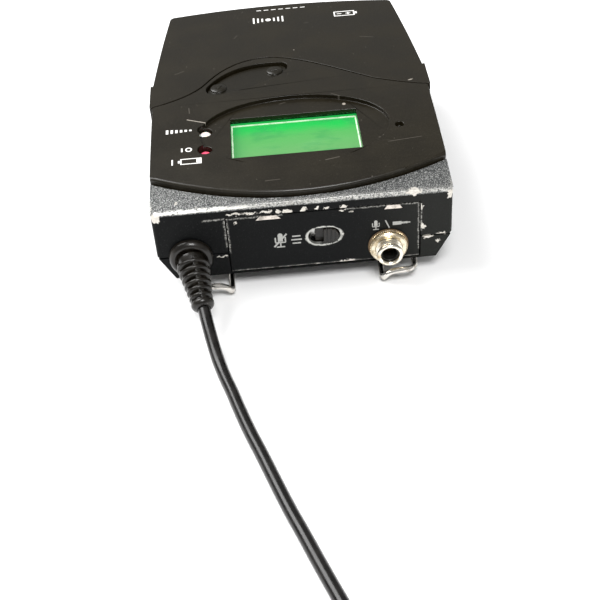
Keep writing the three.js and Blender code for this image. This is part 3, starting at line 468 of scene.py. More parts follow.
@dataclass(frozen=True)
class CasePlastic:
    """Dark satin plastic with fine grain, dust, scratches and white print.

    Attributes:
        name: The material's name.
        scratches: Places scraped pale.
        faint: Places scraped only a little.
        print_: White printed marks.
        dust: How many of the cells hold a speck of dust.
        shade: The plastic's own colour.
    """

    name: str
    scratches: Sequence[Mark] = ()
    faint: Sequence[Mark] = ()
    print_: Sequence[Mark] = ()
    dust: float = 0.05
    shade: Colour = (0.0064, 0.0047, 0.0014)

    GRAIN: ClassVar[Colour] = (0.052, 0.045, 0.033)
    SCRAPED: ClassVar[Colour] = (0.30, 0.27, 0.23)
    DUST: ClassVar[Colour] = (0.40, 0.37, 0.31)
    INK: ClassVar[Colour] = (0.83, 0.82, 0.79)

    def make(self) -> bpy.types.Material:
        """Builds the finish.

        Returns:
            The finished material.
        """
        n = Nodes(self.name)
        worn = n.noise(9.0, 4.0)
        grain = n.noise(0.2, 3.0, 0.65)
        pale = tuple(c * 1.45 for c in self.shade)
        colour = n.mix(n.step(worn, 0.35, 0.7), self.shade, pale)
        colour = n.mix(n.times(n.step(grain, 0.52, 0.75), 0.5), colour, self.GRAIN)
        hair = n.times(n.step(n.noise(0.3, 1.0, stretch=(14, 1, 1)), 0.78, 0.82),
                       n.step(n.noise(5.0), 0.58, 0.68))
        dust = n.most(n.specks(0.7, 0.06, self.dust), n.specks(1.1, 0.09, self.dust),
                      n.specks(3.4, 0.15, self.dust))
        scraped = n.times(hair, 0.3)
        if self.scratches:
            scraped = n.most(scraped, drawn(n, self.scratches, 0.06, 0.5))
        if self.faint:
            scraped = n.most(scraped, n.times(drawn(n, self.faint, 0.05, 0.6, 0.08), 0.22))
        colour = n.mix(scraped, colour, self.SCRAPED)
        colour = n.mix(n.times(dust, 0.7), colour, self.DUST)
        rough = n.blend(n.step(worn, 0.3, 0.75), 0.36, 0.46)
        rough = n.blend(dust, rough, 0.9)
        if self.print_:
            ink = n.times(drawn(n, self.print_, 0.015, 0.25), n.step(n.noise(0.3, 2.0), 0.2, 0.34))
            outer = n.step(n.split()[2], PRINT_Z * MM, (PRINT_Z + PRINT_EDGE) * MM)
            solid = n.times(ink, outer)
            colour = n.mix(solid, colour, self.INK)
            rough = n.blend(solid, rough, 0.6)
        normal = n.bump(grain, 0.018)
        normal = n.bump(n.math("SUBTRACT", 1.0, scraped), 0.02, normal)
        return n.dress(Base_Color=colour, Roughness=rough, Normal=normal, Specular_IOR_Level=0.2,
                       Coat_Weight=0.3, Coat_Roughness=0.2)


@dataclass(frozen=True)
class HammeredPaint:
    """Blue-grey metallic paint with a sparkle, chipped to bare metal; the end face and lower sides get
    a painted-shade copy.

    Attributes:
        name: The material's name.
        chips: Places chipped to the metal.
        rubbed_and_highlit: Edges where the paint is worn thin and bright, with a painted highlight
            along them.
        polish_and_highlight: Edges worn down to smooth bright metal, with a painted highlight on them.
        print_: White printed marks.
        polish_highlight_colour: The colour of those edges and their painted highlight.
    """

    name: str
    chips: Sequence[Mark]
    rubbed_and_highlit: Sequence[Mark]
    polish_and_highlight: Sequence[Mark] = ()
    print_: Sequence[Mark] = ()
    polish_highlight_colour: Colour = (0.86, 0.85, 0.80)

    BAND: ClassVar[tuple[Colour, Colour]] = ((0.066, 0.069, 0.069), (0.096, 0.099, 0.098))
    FLAKE: ClassVar[Colour] = (0.54, 0.545, 0.53)
    # A darker, duller copy of the paint for the end face and the lower sides: painted shade, darker
    # towards the left.
    PAINTED_SHADE_LOW: ClassVar[tuple[Colour, Colour]] = ((0.0060, 0.0064, 0.0066), (0.0180, 0.0185, 0.0170))
    PAINTED_SHADE_FLAKE: ClassVar[Colour] = (0.032, 0.034, 0.034)
    BARE: ClassVar[tuple[Colour, Colour]] = ((0.40, 0.37, 0.32), (0.86, 0.83, 0.77))
    # Pale paint for worn edges, also laid on as a painted highlight along them.
    THIN_AND_HIGHLIGHT: ClassVar[Colour] = (0.62, 0.61, 0.57)
    INK: ClassVar[Colour] = (0.40, 0.40, 0.38)

    def make(self) -> bpy.types.Material:
        """Builds the finish.

        Returns:
            The finished material.
        """
        n = Nodes(self.name)
        x, y, z = n.split()
        flake = n.noise(0.24, 2.0, 0.65)
        cloud = n.noise(5.0, 3.0)
        # Painted shade: the end face and the sides below the top band take the darker, duller copy of
        # the paint.
        end = n.times(n.step(y, -38.62 * MM, -38.72 * MM), n.step(z, 21.9 * MM, 21.4 * MM))
        low = n.most(end, n.step(z, 21.0 * MM, 20.0 * MM))
        dark = n.mix(n.step(cloud, 0.3, 0.7), *self.BAND)
        light = n.mix(n.step(flake, 0.47, 0.66), dark, self.FLAKE)
        # Painted shade: the darker copy is darker still towards the left.
        shade = n.mix(n.step(x, 8.0 * MM, 30.0 * MM), *self.PAINTED_SHADE_LOW)
        painted_shade_paint = n.mix(n.step(flake, 0.6, 0.78), shade, self.PAINTED_SHADE_FLAKE)
        colour = n.mix(low, light, painted_shade_paint)
        metal = n.blend(low, 0.75, 0.15)
        rough = n.blend(low, n.blend(flake, 0.24, 0.5), 0.42)
        # Worn thin edges with a painted highlight laid along them.
        thin = n.times(drawn(n, self.rubbed_and_highlit, 0.16, 1.2, 0.3),
                       n.step(n.noise(0.35, 3.0), 0.34, 0.66))
        bare = drawn(n, self.chips, 0.55, 0.8, 0.05)
        bare = n.most(bare, n.times(n.specks(4.2, 0.2, 0.14), n.math("SUBTRACT", 1.0, end)))
        silver = n.mix(n.noise(0.5, 3.0), *self.BARE)
        colour = n.mix(n.times(thin, 0.8), colour, self.THIN_AND_HIGHLIGHT)
        colour = n.mix(bare, colour, silver)
        metal = n.blend(n.most(thin, bare), metal, 0.55)
        rough = n.blend(bare, rough, 0.42)
        # Near-white metal on worn edges, carrying a painted highlight as well.
        if self.polish_and_highlight:
            bright = n.times(drawn(n, self.polish_and_highlight, 0.2, 1.0, 0.14),
                             n.step(n.noise(0.7), 0.26, 0.4))
            colour = n.mix(bright, colour, self.polish_highlight_colour)
            metal = n.blend(bright, metal, 0.8)
            rough = n.blend(bright, rough, 0.3)
        if self.print_:
            ink = n.times(drawn(n, self.print_, 0.02, 0.25),
                          n.step(n.noise(0.25, 2.0), 0.24, 0.4))
            colour = n.mix(ink, colour, self.INK)
            metal = n.blend(ink, metal, 0.0)
        normal = n.bump(flake, 0.03)
        normal = n.bump(n.math("SUBTRACT", 1.0, bare), 0.06, normal)
        return n.dress(Base_Color=colour, Metallic=metal, Roughness=rough, Normal=normal,
                       Specular_IOR_Level=0.06)


@dataclass(frozen=True)
class Rubber:
    """Moulded black rubber.

    Attributes:
        name: The material's name.
        gloss: Its roughness where it is clean.
        shade: Its darkest colour.
    """

    name: str = "moulded_rubber"
    gloss: float = 0.3
    shade: Colour = (0.0060, 0.0048, 0.0034)

    def make(self) -> bpy.types.Material:
        """Builds the finish.

        Returns:
            The finished material.
        """
        n = Nodes(self.name)
        bloom = n.noise(2.5, 4.0)
        colour = n.mix(n.step(bloom, 0.42, 0.72), self.shade, tuple(c * 2.6 for c in self.shade))
        dust = n.specks(0.9, 0.08, 0.08)
        colour = n.mix(n.times(dust, 0.5), colour, (0.3, 0.28, 0.25))
        rough = n.blend(n.step(bloom, 0.35, 0.8), self.gloss, self.gloss + 0.16)
        normal = n.bump(n.noise(0.2, 2.0), 0.01)
        return n.dress(Base_Color=colour, Roughness=rough, Normal=normal, Specular_IOR_Level=0.2,
                       Coat_Weight=0.35, Coat_Roughness=0.18)


@dataclass(frozen=True)
class Metal:
    """Bare or plated metal with fine wear.

    Attributes:
        name: The material's name.
        bright: Its colour where it is clean.
        dull: Its colour where it is tarnished.
        gloss: Its roughness where it is clean.
        lines: How far its polishing lines run along each axis.
    """

    name: str
    bright: Colour
    dull: Colour
    gloss: float = 0.2
    lines: Point = (1, 1, 1)

    def make(self) -> bpy.types.Material:
        """Builds the finish.

        Returns:
            The finished material.
        """
        n = Nodes(self.name)
        tarnish = n.noise(1.6, 4.0, 0.6)
        lines = n.noise(0.08, 2.0, stretch=self.lines)
        spots = n.specks(0.8, 0.07, 0.2)
        share = n.most(n.step(tarnish, 0.48, 0.72), n.times(spots, 0.8))
        colour = n.mix(share, self.bright, self.dull)
        rough = n.blend(share, self.gloss, self.gloss + 0.2)
        rough = n.math("ADD", rough, n.times(lines, 0.08))
        return n.dress(Base_Color=colour, Metallic=1.0, Roughness=rough, Normal=n.bump(lines, 0.006))


@dataclass(frozen=True)
class Display:
    """Backlit green display, deep at its far side and pale at its near side.

    Attributes:
        name: The material's name.
        far: The Y of its far edge, in millimetres.
        near: The Y of its near edge, in millimetres.
        left: The X of its left edge, in millimetres.
    """

    name: str
    far: float
    near: float
    left: float

    FAR: ClassVar[Colour] = (0.0, 0.68, 0.090)
    MIDDLE: ClassVar[Colour] = (0.110, 0.56, 0.125)
    NEAR: ClassVar[Colour] = (0.190, 0.50, 0.170)
    SIDE: ClassVar[Colour] = (0.03, 0.38, 0.11)
    BLOT: ClassVar[Colour] = (0.02, 0.36, 0.10)
    LATTICE: ClassVar[Colour] = (0.3, 0.6, 0.3)
    SPECK: ClassVar[Colour] = (0.55, 0.85, 0.45)
    UNLIT: ClassVar[Colour] = (0.0, 0.02, 0.004)
    DOT_WIDE: ClassVar[float] = 0.42
    DOT_TALL: ClassVar[float] = 0.46
    BACKLIGHT: ClassVar[float] = 0.57

    def from_dot(self, n: Nodes, along: bpy.types.NodeSocket, pitch: float) -> bpy.types.NodeSocket:
        """How far a place is from the middle of its dot, as a share of the dots' pitch.

        Args:
            n: The material's nodes.
            along: The place along one axis, in metres.
            pitch: The dots' pitch along that axis, in millimetres.

        Returns:
            The share, from 0 at a dot's middle to a half between two dots.
        """
        inside = n.math("FRACT", n.math("DIVIDE", along, pitch * MM))
        return n.math("ABSOLUTE", n.math("SUBTRACT", inside, 0.5))

    def make(self) -> bpy.types.Material:
        """Builds the finish.

        Returns:
            The finished material.
        """
        n = Nodes(self.name)
        x, y, _ = n.split()
        across = n.step(n.math("ADD", y, n.times(n.noise(5.0, 2.0), 0.003)),
                        (self.far + 0.4) * MM, (self.far - 4.6) * MM)
        down = n.step(y, (self.far - 3.0) * MM, self.near * MM)
        colour = n.mix(across, self.FAR, self.MIDDLE)
        colour = n.mix(down, colour, self.NEAR)
        side = n.step(x, (self.left + 5.0) * MM, (self.left - 1.0) * MM)
        colour = n.mix(n.times(side, 0.5), colour, self.SIDE)
        blots = n.times(n.step(n.noise(3.6, 3.0, stretch=(2.2, 1, 1)), 0.5, 0.7), 0.45)
        colour = n.mix(blots, colour, self.BLOT)
        from_dot = n.most(self.from_dot(n, x, self.DOT_WIDE), self.from_dot(n, y, self.DOT_TALL))
        colour = n.mix(n.times(n.step(from_dot, 0.40, 0.46), 0.10), colour, self.LATTICE)
        specks = n.most(n.specks(0.9, 0.09, 0.35), n.specks(2.4, 0.15, 0.25))
        colour = n.mix(n.times(specks, 0.5), colour, self.SPECK)
        body = n.mix(0.78, colour, self.UNLIT)
        return n.dress(Base_Color=body, Emission_Color=colour, Emission_Strength=self.BACKLIGHT,
                       Roughness=0.35, Specular_IOR_Level=0.1)


@dataclass(frozen=True)
class Resin:
    """Tinted lamp resin that glows a little inside.

    Attributes:
        name: The material's name.
        tint: The colour of its crown.
        root: The colour of its foot.
        glow: How strongly it shines.
        crown: The Z of its crown, in millimetres.
    """

    name: str
    tint: Colour
    root: Colour
    glow: float
    crown: float

    def make(self) -> bpy.types.Material:
        """Builds the finish.

        Returns:
            The finished material.
        """
        n = Nodes(self.name)
        _, _, z = n.split()
        share = n.step(z, (self.crown - 1.3) * MM, (self.crown - 0.1) * MM)
        colour = n.mix(share, self.root, self.tint)
        colour = n.mix(n.times(n.noise(0.5, 2.0), 0.35), colour, self.root)
        return n.dress(Base_Color=colour, Emission_Color=colour, Emission_Strength=self.glow,
                       Roughness=0.14, Subsurface_Weight=0.3, Subsurface_Scale=MM)


@dataclass(frozen=True)
class Clear:
    """Clear moulded window with faint smears."""

    name: str = "window_plastic"

    def make(self) -> bpy.types.Material:
        """Builds the finish.

        Returns:
            The finished material.
        """
        n = Nodes(self.name)
        smear = n.step(n.noise(4.0, 4.0, stretch=(2, 1, 1)), 0.5, 0.75)
        dust = n.most(n.specks(1.3, 0.08, 0.4), n.specks(0.8, 0.06, 0.3))
        marks = n.math("ADD", n.times(smear, 0.02), n.times(dust, 0.3))
        rough = n.blend(smear, 0.06, 0.16)
        return n.dress(Base_Color=(0.45, 0.75, 0.45), Roughness=rough,
                       Alpha=n.math("ADD", 0.012, marks), Specular_IOR_Level=0.3)


@dataclass(frozen=True)
class Plain:
    """Plain moulded or printed surface with soft variation.

    Attributes:
        name: The material's name.
        first: Its main colour.
        second: The colour of its faint blots.
        rough: Its roughness.
        blot: The size of the blots, in millimetres.
    """

    name: str
    first: Colour
    second: Colour
    rough: float = 0.5
    blot: float = 2.0

    def make(self) -> bpy.types.Material:
        """Builds the finish.

        Returns:
            The finished material.
        """
        n = Nodes(self.name)
        colour = n.mix(n.step(n.noise(self.blot, 4.0), 0.42, 0.66), self.first, self.second)
        rough = n.blend(n.noise(self.blot / 2), self.rough - 0.08, self.rough + 0.1)
        return n.dress(Base_Color=colour, Roughness=rough,
                       Normal=n.bump(n.noise(0.2, 2.0), 0.008))


@dataclass(frozen=True)
class CircuitBoard:
    """Green solder resist with copper tracks and tinned pads."""

    name: str = "solder_resist"

    def make(self) -> bpy.types.Material:
        """Builds the finish.

        Returns:
            The finished material.
        """
        n = Nodes(self.name)
        cells = n.node("TexVoronoi", Vector=n.place, Scale=1 / (2.6 * MM))
        cells.distance = "MANHATTAN"
        cells.feature = "DISTANCE_TO_EDGE"
        track = n.step(cells.outputs["Distance"], 0.05, 0.03)
        colour = n.mix(n.times(track, 0.8), (0.012, 0.075, 0.028), (0.03, 0.17, 0.06))
        pads = n.specks(1.7, 0.38, 0.35)
        colour = n.mix(pads, colour, (0.7, 0.68, 0.62))
        return n.dress(Base_Color=colour, Metallic=pads, Roughness=0.32, Normal=n.bump(track, 0.03))


@dataclass(frozen=True)
class CellSleeve:
    """Printed sleeve of a cell, with a plain metal band at the positive end.

    Attributes:
        name: The material's name.
        side: 1 where the positive end points to +X, and -1 where it points to -X.
    """

    name: str
    side: int

    def make(self) -> bpy.types.Material:
        """Builds the finish.

        Returns:
            The finished material.
        """
        n = Nodes(self.name)
        x, _, _ = n.split()
        along = n.times(x, float(self.side))
        copper = n.step(along, 10.8 * MM, 11.0 * MM)
        ends = n.math("GREATER_THAN", n.math("ABSOLUTE", x), 24.2 * MM)
        colour = n.mix(copper, (0.02, 0.021, 0.024), (0.55, 0.26, 0.10))
        stripe = n.times(n.step(along, 9.4 * MM, 9.5 * MM),
                         n.step(along, 10.1 * MM, 10.0 * MM))
        colour = n.mix(stripe, colour, (0.75, 0.74, 0.7))
        colour = n.mix(ends, colour, (0.6, 0.6, 0.58))
        scuffs = n.times(n.step(n.noise(1.5, 3.0), 0.55, 0.75), 0.2)
        colour = n.mix(scuffs, colour, (0.2, 0.2, 0.2))
        metal = n.most(n.times(copper, 0.8), ends)
        return n.dress(Base_Color=colour, Metallic=metal, Roughness=0.3)


# ------------------------------------------------------------------ bench work


def clear_selection() -> None:
    """Leaves edit mode and deselects every object."""
    if bpy.context.mode != "OBJECT":
        bpy.ops.object.mode_set(mode="OBJECT")
    bpy.ops.object.select_all(action="DESELECT")


def take(piece: bpy.types.Object) -> None:
    """Makes a piece the only selected and the active one.

    Args:
        piece: The piece.
    """
    clear_selection()
    piece.select_set(True)
    bpy.context.view_layer.objects.active = piece


def pick(piece: bpy.types.Object, wanted: Callable[[bmesh.types.BMFace], bool]) -> None:
    """Selects the faces that a test accepts, in edit mode.

    Args:
        piece: The piece, in edit mode.
        wanted: The test of one face.
    """
    bpy.ops.mesh.select_mode(type="FACE")
    bpy.ops.mesh.select_all(action="DESELECT")
    edit = bmesh.from_edit_mesh(piece.data)
    for face in [face for face in edit.faces if wanted(face)]:
        face.select_set(True)
    bmesh.update_edit_mesh(piece.data)


def pick_edges(piece: bpy.types.Object,
               wanted: Callable[[bmesh.types.BMEdge, Vector], bool]) -> int:
    """Selects the edges that a test of the edge and its middle accepts, in edit mode.

    Args:
        piece: The piece, in edit mode.
        wanted: The test of one edge and the place of its middle.

    Returns:
        How many edges are selected.
    """
    bpy.ops.mesh.select_mode(type="EDGE")
    bpy.ops.mesh.select_all(action="DESELECT")
    edit = bmesh.from_edit_mesh(piece.data)
    chosen = [e for e in edit.edges if wanted(e, (e.verts[0].co + e.verts[1].co) / 2)]
    for edge in chosen:
        edge.select_set(True)
    bmesh.update_edit_mesh(piece.data)
    return len(chosen)


def soften(piece: bpy.types.Object, width: float, segments: int) -> None:
    """Rounds a piece's sharp edges and shades it smooth.

    Args:
        piece: The piece, in object mode.
        width: The width of the rounding, in millimetres, or 0 for none.
        segments: The steps of the rounding.
    """
    take(piece)
    if width:
        bevel = piece.modifiers.new("rounding", "BEVEL")
        bevel.width = width * MM
        bevel.segments = segments
        bevel.limit_method = "ANGLE"
        bevel.angle_limit = math.radians(ROUNDED_ANGLE)
        bevel.use_clamp_overlap = False
        bpy.ops.object.modifier_apply(modifier=bevel.name)
    bpy.ops.object.shade_smooth_by_angle(angle=math.radians(SMOOTH_ANGLE))
    weighted = piece.modifiers.new("flat faces", "WEIGHTED_NORMAL")
    weighted.keep_sharp = True
    weighted.weight = FLAT_WEIGHT
    bpy.ops.object.modifier_apply(modifier=weighted.name)


def crowned(piece: bpy.types.Object) -> None:
    """Gives the faces of the crown the slope of its true curve, so that no flat shows.

    Args:
        piece: The piece, in object mode, with its normals made.
    """
    mesh = piece.data
    slopes = [corner.vector.copy() for corner in mesh.corner_normals]
    for face in mesh.polygons:
        if face.normal.z < CROWN_LEAST:
            continue
        for loop in face.loop_indices:
            past = max(CROWN_Y - mesh.vertices[mesh.loops[loop].vertex_index].co.y, 0.0)
            slopes[loop] = Vector((0, -2 * CROWN_FALL * past / CROWN_RUN ** 2, 1)).normalized()
    mesh.normals_split_custom_set(slopes)


def worked_copy(node: str, name: str, width: float, segments: int = 2,
                cut: Callable[[bpy.types.Object], None] | None = None) -> bpy.types.Object:
    """A merged copy of a CAD node with rounded edges, which stands for the node.

    Args:
        node: The CAD node's name.
        name: The new piece's name.
        width: The width of the rounding, in millimetres.
        segments: The steps of the rounding.
        cut: More work on the merged mesh before its edges are rounded, in edit mode.

    Returns:
        The new piece, which isn't dressed and rides on nothing yet.
    """
    source = bpy.data.objects[node]
    piece = bpy.data.objects.new(name, source.data.copy())
    piece.data.name = name
    bpy.context.scene.collection.objects.link(piece)
    take(piece)
    bpy.ops.object.mode_set(mode="EDIT")
    bpy.ops.mesh.select_all(action="SELECT")
    bpy.ops.mesh.customdata_custom_splitnormals_clear()
    bpy.ops.mesh.remove_doubles(threshold=MERGED * MM)
    if cut is not None:
        cut(piece)
    bpy.ops.object.mode_set(mode="OBJECT")
    soften(piece, width, segments)
    low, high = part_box(node)
    for vertex in piece.data.vertices:
        vertex.co = [min(max(value, least), most)
                     for value, least, most in zip(vertex.co, low, high)]
    if node in CROWNED:
        crowned(piece)
    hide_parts(node)
    return piece


def turned(name: str, profile: Sequence[tuple[float, float]], sides: int,
           place: Matrix) -> bpy.types.Object:
    """A closed round piece: a disc carried along its axis and scaled at each step.

    Args:
        name: The piece's name.
        profile: Pairs of radius and height along the axis, in millimetres.
        sides: The number of its sides.
        place: The matrix that carries the axis from +Z to its place, in metres.

    Returns:
        The new piece, the only one selected.
    """
    clear_selection()
    radius, height = profile[0]
    bpy.ops.mesh.primitive_circle_add(vertices=sides, radius=radius * MM, fill_type="NGON",
                                      location=(0, 0, height * MM))
    piece = bpy.context.active_object
    piece.name = piece.data.name = name
    bpy.ops.object.transform_apply(location=True)
    bpy.ops.object.mode_set(mode="EDIT")
    bpy.ops.mesh.select_all(action="SELECT")
    for (r0, h0), (r1, h1) in zip(profile, profile[1:]):
        rise = (0, 0, (h1 - h0) * MM)
        bpy.ops.mesh.extrude_region_move(TRANSFORM_OT_translate={"value": rise})
        scale = r1 / r0
        bpy.ops.transform.resize(value=(scale, scale, 1), center_override=(0, 0, h1 * MM))
    bpy.ops.mesh.select_all(action="SELECT")
    bpy.ops.mesh.normals_make_consistent(inside=False)
    bpy.ops.object.mode_set(mode="OBJECT")
    piece.data.transform(place)
    return piece


def axis_place(start: Vector, towards: Vector) -> Matrix:
    """The matrix that puts the origin at start and turns +Z towards a direction."""
    turn = towards.normalized().to_track_quat("Z", "Y").to_matrix().to_4x4()
    return Matrix.Translation(start) @ turn


def brick(name: str, centre: Vector, size: Vector, place: Matrix, width: float) -> bpy.types.Object:
    """A small block with rounded edges.

    Args:
        name: The piece's name.
        centre: Its middle before it is placed, in metres.
        size: Its size, in metres.
        place: The matrix that puts it in its place.
        width: The width of the rounding, in millimetres.

    Returns:
        The new block.
    """
    clear_selection()
    bpy.ops.mesh.primitive_cube_add(size=1, location=centre, scale=size)
    piece = bpy.context.active_object
    piece.name = piece.data.name = name
    bpy.ops.object.transform_apply(location=True, scale=True)
    piece.data.transform(place)
    bpy.ops.object.mode_set(mode="EDIT")
    bpy.ops.mesh.select_all(action="SELECT")
    bpy.ops.mesh.bevel(offset=width * MM, segments=2)
    bpy.ops.object.mode_set(mode="OBJECT")
    return piece


def joined(name: str, parts: Sequence[bpy.types.Object]) -> bpy.types.Object:
    """Makes several pieces one.

    Args:
        name: The name of the whole.
        parts: The pieces, the first of which takes in the others.

    Returns:
        The whole, the only one selected.
    """
    clear_selection()
    for part in parts:
        part.select_set(True)
    bpy.context.view_layer.objects.active = parts[0]
    bpy.ops.object.join()
    piece = bpy.context.active_object
    piece.name = piece.data.name = name
    return piece


def finish_piece(piece: bpy.types.Object, body: Body,
                 material: bpy.types.Material) -> None:
    """Dresses a finished piece and puts it on its body.

    Args:
        piece: The piece.
        body: The body that it rides on.
        material: Its material.
    """
    piece.data.materials.clear()
    piece.data.materials.append(material)
    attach(piece, body.value)
    log.info("%s rides on %s in %s", piece.name, body.value, material.name)


def dress_node(node: str, material: bpy.types.Material) -> None:
    """Gives a CAD node its material.

    Args:
        node: The CAD node's name.
        material: Its material.
    """
    mesh = bpy.data.objects[node].data
    mesh.materials.clear()
    mesh.materials.append(material)
    log.info("%s is in %s", node, material.name)


# ------------------------------------------------------------------ surroundings


@dataclass
class Studio:
    """Floor, soft lights and camera.

    Attributes:
        eye: Where the camera stands, in millimetres.
        aim: The place that it looks at, in millimetres.
        roll: Its turn about its own line of sight, in degrees.
        lens: Its focal length on a sensor of 36 mm.
        room: The strength of the light from all round.
    """

    eye: Point = (-4.8, -235.2, 166.3)
    aim: Point = (-2.3, -59.84, 13.2)
    roll: float = -4.56
    lens: float = 69.03
    room: float = 0.40

    def build(self) -> None:
        """Makes the floor, the lights and the camera."""
        self.camera()
        self.floor()
        self.lights()

    def camera(self) -> None:
        """Puts the camera in its place."""
        sight = mm(*self.aim) - mm(*self.eye)
        roll = Matrix.Rotation(math.radians(self.roll), 4, "Z").to_quaternion()
        data = bpy.data.cameras.new("camera")
        data.lens = self.lens
        data.clip_start = 0.01
        camera = bpy.data.objects.new("camera", data)
        camera.location = mm(*self.eye)
        camera.rotation_mode = "QUATERNION"
        camera.rotation_quaternion = sight.to_track_quat("-Z", "Y") @ roll
        bpy.context.scene.collection.objects.link(camera)
        bpy.context.scene.camera = camera

    def floor(self) -> None:
        """Lays a pale floor."""
        clear_selection()
        bpy.ops.mesh.primitive_plane_add(size=6, location=(0, 0, 0))
        floor = bpy.context.active_object
        floor.name = "floor"
        n = Nodes("floor_paper")
        shade = n.mix(n.noise(30.0, 3.0), (0.90, 0.90, 0.90), (0.92, 0.92, 0.92))
        floor.data.materials.append(n.dress(Base_Color=shade, Roughness=0.9))

    def lights(self) -> None:
        """Hangs the soft boxes and sets the room's light."""
        self.soft_box("key", (-420, 200, 620), (0, 0, 10), 520, 7.8)
        self.soft_box("front", (60, -430, 640), (0, -20, 10), 260, 4.6)
        world = bpy.data.worlds.new("room")
        world.use_nodes = True
        sky = world.node_tree.nodes["Background"].inputs
        sky["Color"].default_value = (1.0, 1.0, 1.0, 1)
        sky["Strength"].default_value = self.room
        bpy.context.scene.world = world
        bpy.context.scene.view_settings.view_transform = "Standard"

    def soft_box(self, name: str, place: Point, aim: Point, size: float, power: float) -> None:
        """Hangs one soft box.

        Args:
            name: Its name.
            place: Where it hangs, in millimetres.
            aim: The place that it lights, in millimetres.
            size: Its side, in millimetres.
            power: Its power, in watts.
        """
        data = bpy.data.lights.new(name, "AREA")
        data.size = size * MM
        data.energy = power
        lamp = bpy.data.objects.new(name, data)
        lamp.location = mm(*place)
        lamp.rotation_mode = "QUATERNION"
        lamp.rotation_quaternion = (mm(*aim) - mm(*place)).to_track_quat("-Z", "Y")
        bpy.context.scene.collection.objects.link(lamp)


# ------------------------------------------------------------------ antenna


@dataclass
class Antenna:
    """Rubber boot and whip.

    Attributes:
        route: The middle line of the whip, in millimetres.
        radius: The whip's radius, in millimetres.
        flange: The middle of the flange on the control end, in millimetres.
        droop: How far the boot points down, in degrees.
        yaw: How far the boot points to the right, in degrees.
        length: The boot's length, in millimetres.
        rings: The number of its ribs.
        first_rib: How far from its root the first rib starts, in millimetres.
        ends: How much of its length has no ribs, in millimetres.
        widest: The radius of the first rib, in millimetres.
        taper: How much the ribs' radius falls over the boot, in millimetres.
        groove: How deep the grooves between the ribs are, in millimetres.
    """

    route: tuple[Point, ...] = (
        (-22.59, -51.82, 5.99), (-22.3, -53.4, 5.41), (-21.95, -55.3, 4.7), (-21.5, -57.5, 3.85),
        (-20.95, -60, 2.9), (-20.3, -62.8, 2.05), (-19.5, -65.8, 1.55), (-18.7, -68.6, 1.39),
        (-17.6, -72.2, 1.36), (-16.1, -77.6, 1.36), (-14.3, -83.6, 1.36), (-12.2, -89.8, 1.36),
        (-10, -96.6, 1.36), (-7.7, -103.5, 1.36), (-5.6, -109.2, 1.36), (-3.6, -114.8, 1.36),
        (-1.2, -121.3, 1.36), (0.2, -125, 1.36),
    )
    radius: float = 1.35
    flange: Point = (-24.8, -39.1, 10.4)
    droop: float = 20.0
    yaw: float = 10.5
    length: float = 12.6
    rings: int = 6
    first_rib: float = 1.5
    ends: float = 3.3
    widest: float = 3.65
    taper: float = 1.3
    groove: float = 0.9

    def build(self) -> None:
        """Makes the whip, its cap and the boot."""
        rubber = Rubber().make()
        sheath = Rubber("whip_sheath", 0.24, (0.0040, 0.0036, 0.0032)).make()
        whip = self.whip(sheath)
        tip = worked_copy("antenna_tip", "whip_cap", 0.0)
        finish_piece(tip, Body.PACK, sheath)
        boot = self.boot()
        finish_piece(boot, Body.PACK, rubber)

    def whip(self, material: bpy.types.Material) -> bpy.types.Object:
        """The whip as a round curve through its route.

        Args:
            material: Its rubber.

        Returns:
            The whip.
        """
        curve = bpy.data.curves.new("whip", "CURVE")
        curve.dimensions = "3D"
        curve.bevel_depth = self.radius * MM
        curve.bevel_resolution = 6
        curve.resolution_u = 6
        curve.use_fill_caps = True
        line = curve.splines.new("BEZIER")
        line.bezier_points.add(len(self.route) - 1)
        for knot, place in zip(line.bezier_points, self.route):
            knot.co = mm(*place)
            knot.handle_left_type = knot.handle_right_type = "AUTO"
        whip = bpy.data.objects.new("whip", curve)
        bpy.context.scene.collection.objects.link(whip)
        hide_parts("antenna_whip")
        finish_piece(whip, Body.PACK, material)
        return whip

    def boot(self) -> bpy.types.Object:
        """A rolled flange, round ribs on a core, lands between them and a round end.

        Returns:
            The boot.
        """
        droop, yaw = math.radians(self.droop), math.radians(self.yaw)
        lean = Vector((math.sin(yaw) * math.cos(droop), -math.cos(yaw) * math.cos(droop),
                       -math.sin(droop)))
        root = mm(*self.flange) + Vector((0, -0.8 * MM, 0))
        flange = turned("boot_flange", [
            (4.35, -0.1), (4.8, 0.25), (4.8, 0.75), (4.62, 1.2), (4.2, 1.62), (3.7, 1.86),
            (3.3, 1.75), (3.05, 1.45), (2.6, 1.35)], 48,
            axis_place(mm(*self.flange), Vector((0, -1, 0))))
        parts = [flange, turned("boot_ribs", self.ribs(), 40, axis_place(root, lean))]
        parts += self.lands(axis_place(root, lean))
        boot = joined("boot", parts)
        bpy.ops.object.shade_smooth_by_angle(angle=math.radians(50))
        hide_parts("antenna_boot")
        return boot

    def ribs(self) -> list[tuple[float, float]]:
        """The profile of the ribs and the round end.

        Returns:
            Pairs of radius and height, in millimetres.
        """
        profile = [(3.0, 0.2), (3.0, 1.0)]
        pitch = self.pitch()
        for ring in range(self.rings):
            crest, start = self.rib_radius(ring), self.first_rib + ring * pitch
            core = crest - self.groove
            profile += [(core, start), (core, start + 0.26 * pitch),
                        (crest - 0.3, start + 0.33 * pitch), (crest - 0.08, start + 0.42 * pitch),
                        (crest, start + 0.56 * pitch), (crest - 0.06, start + 0.72 * pitch),
                        (crest - 0.28, start + 0.86 * pitch)]
        end = self.first_rib + self.rings * pitch
        profile += [(1.9, end), (1.9, end + 0.2), (2.3, end + 0.36), (2.5, end + 0.75),
                    (2.48, end + 1.15), (2.25, end + 1.6), (1.85, end + 1.92), (1.5, end + 2.0),
                    (1.4, end + 1.8), (0.4, end + 1.7)]
        return profile

    def pitch(self) -> float:
        """The distance from one rib to the next, in millimetres."""
        return (self.length - self.ends) / self.rings

    def rib_radius(self, ring: int) -> float:
        """The radius of one rib, in millimetres."""
        return self.widest - self.taper * ring / self.rings

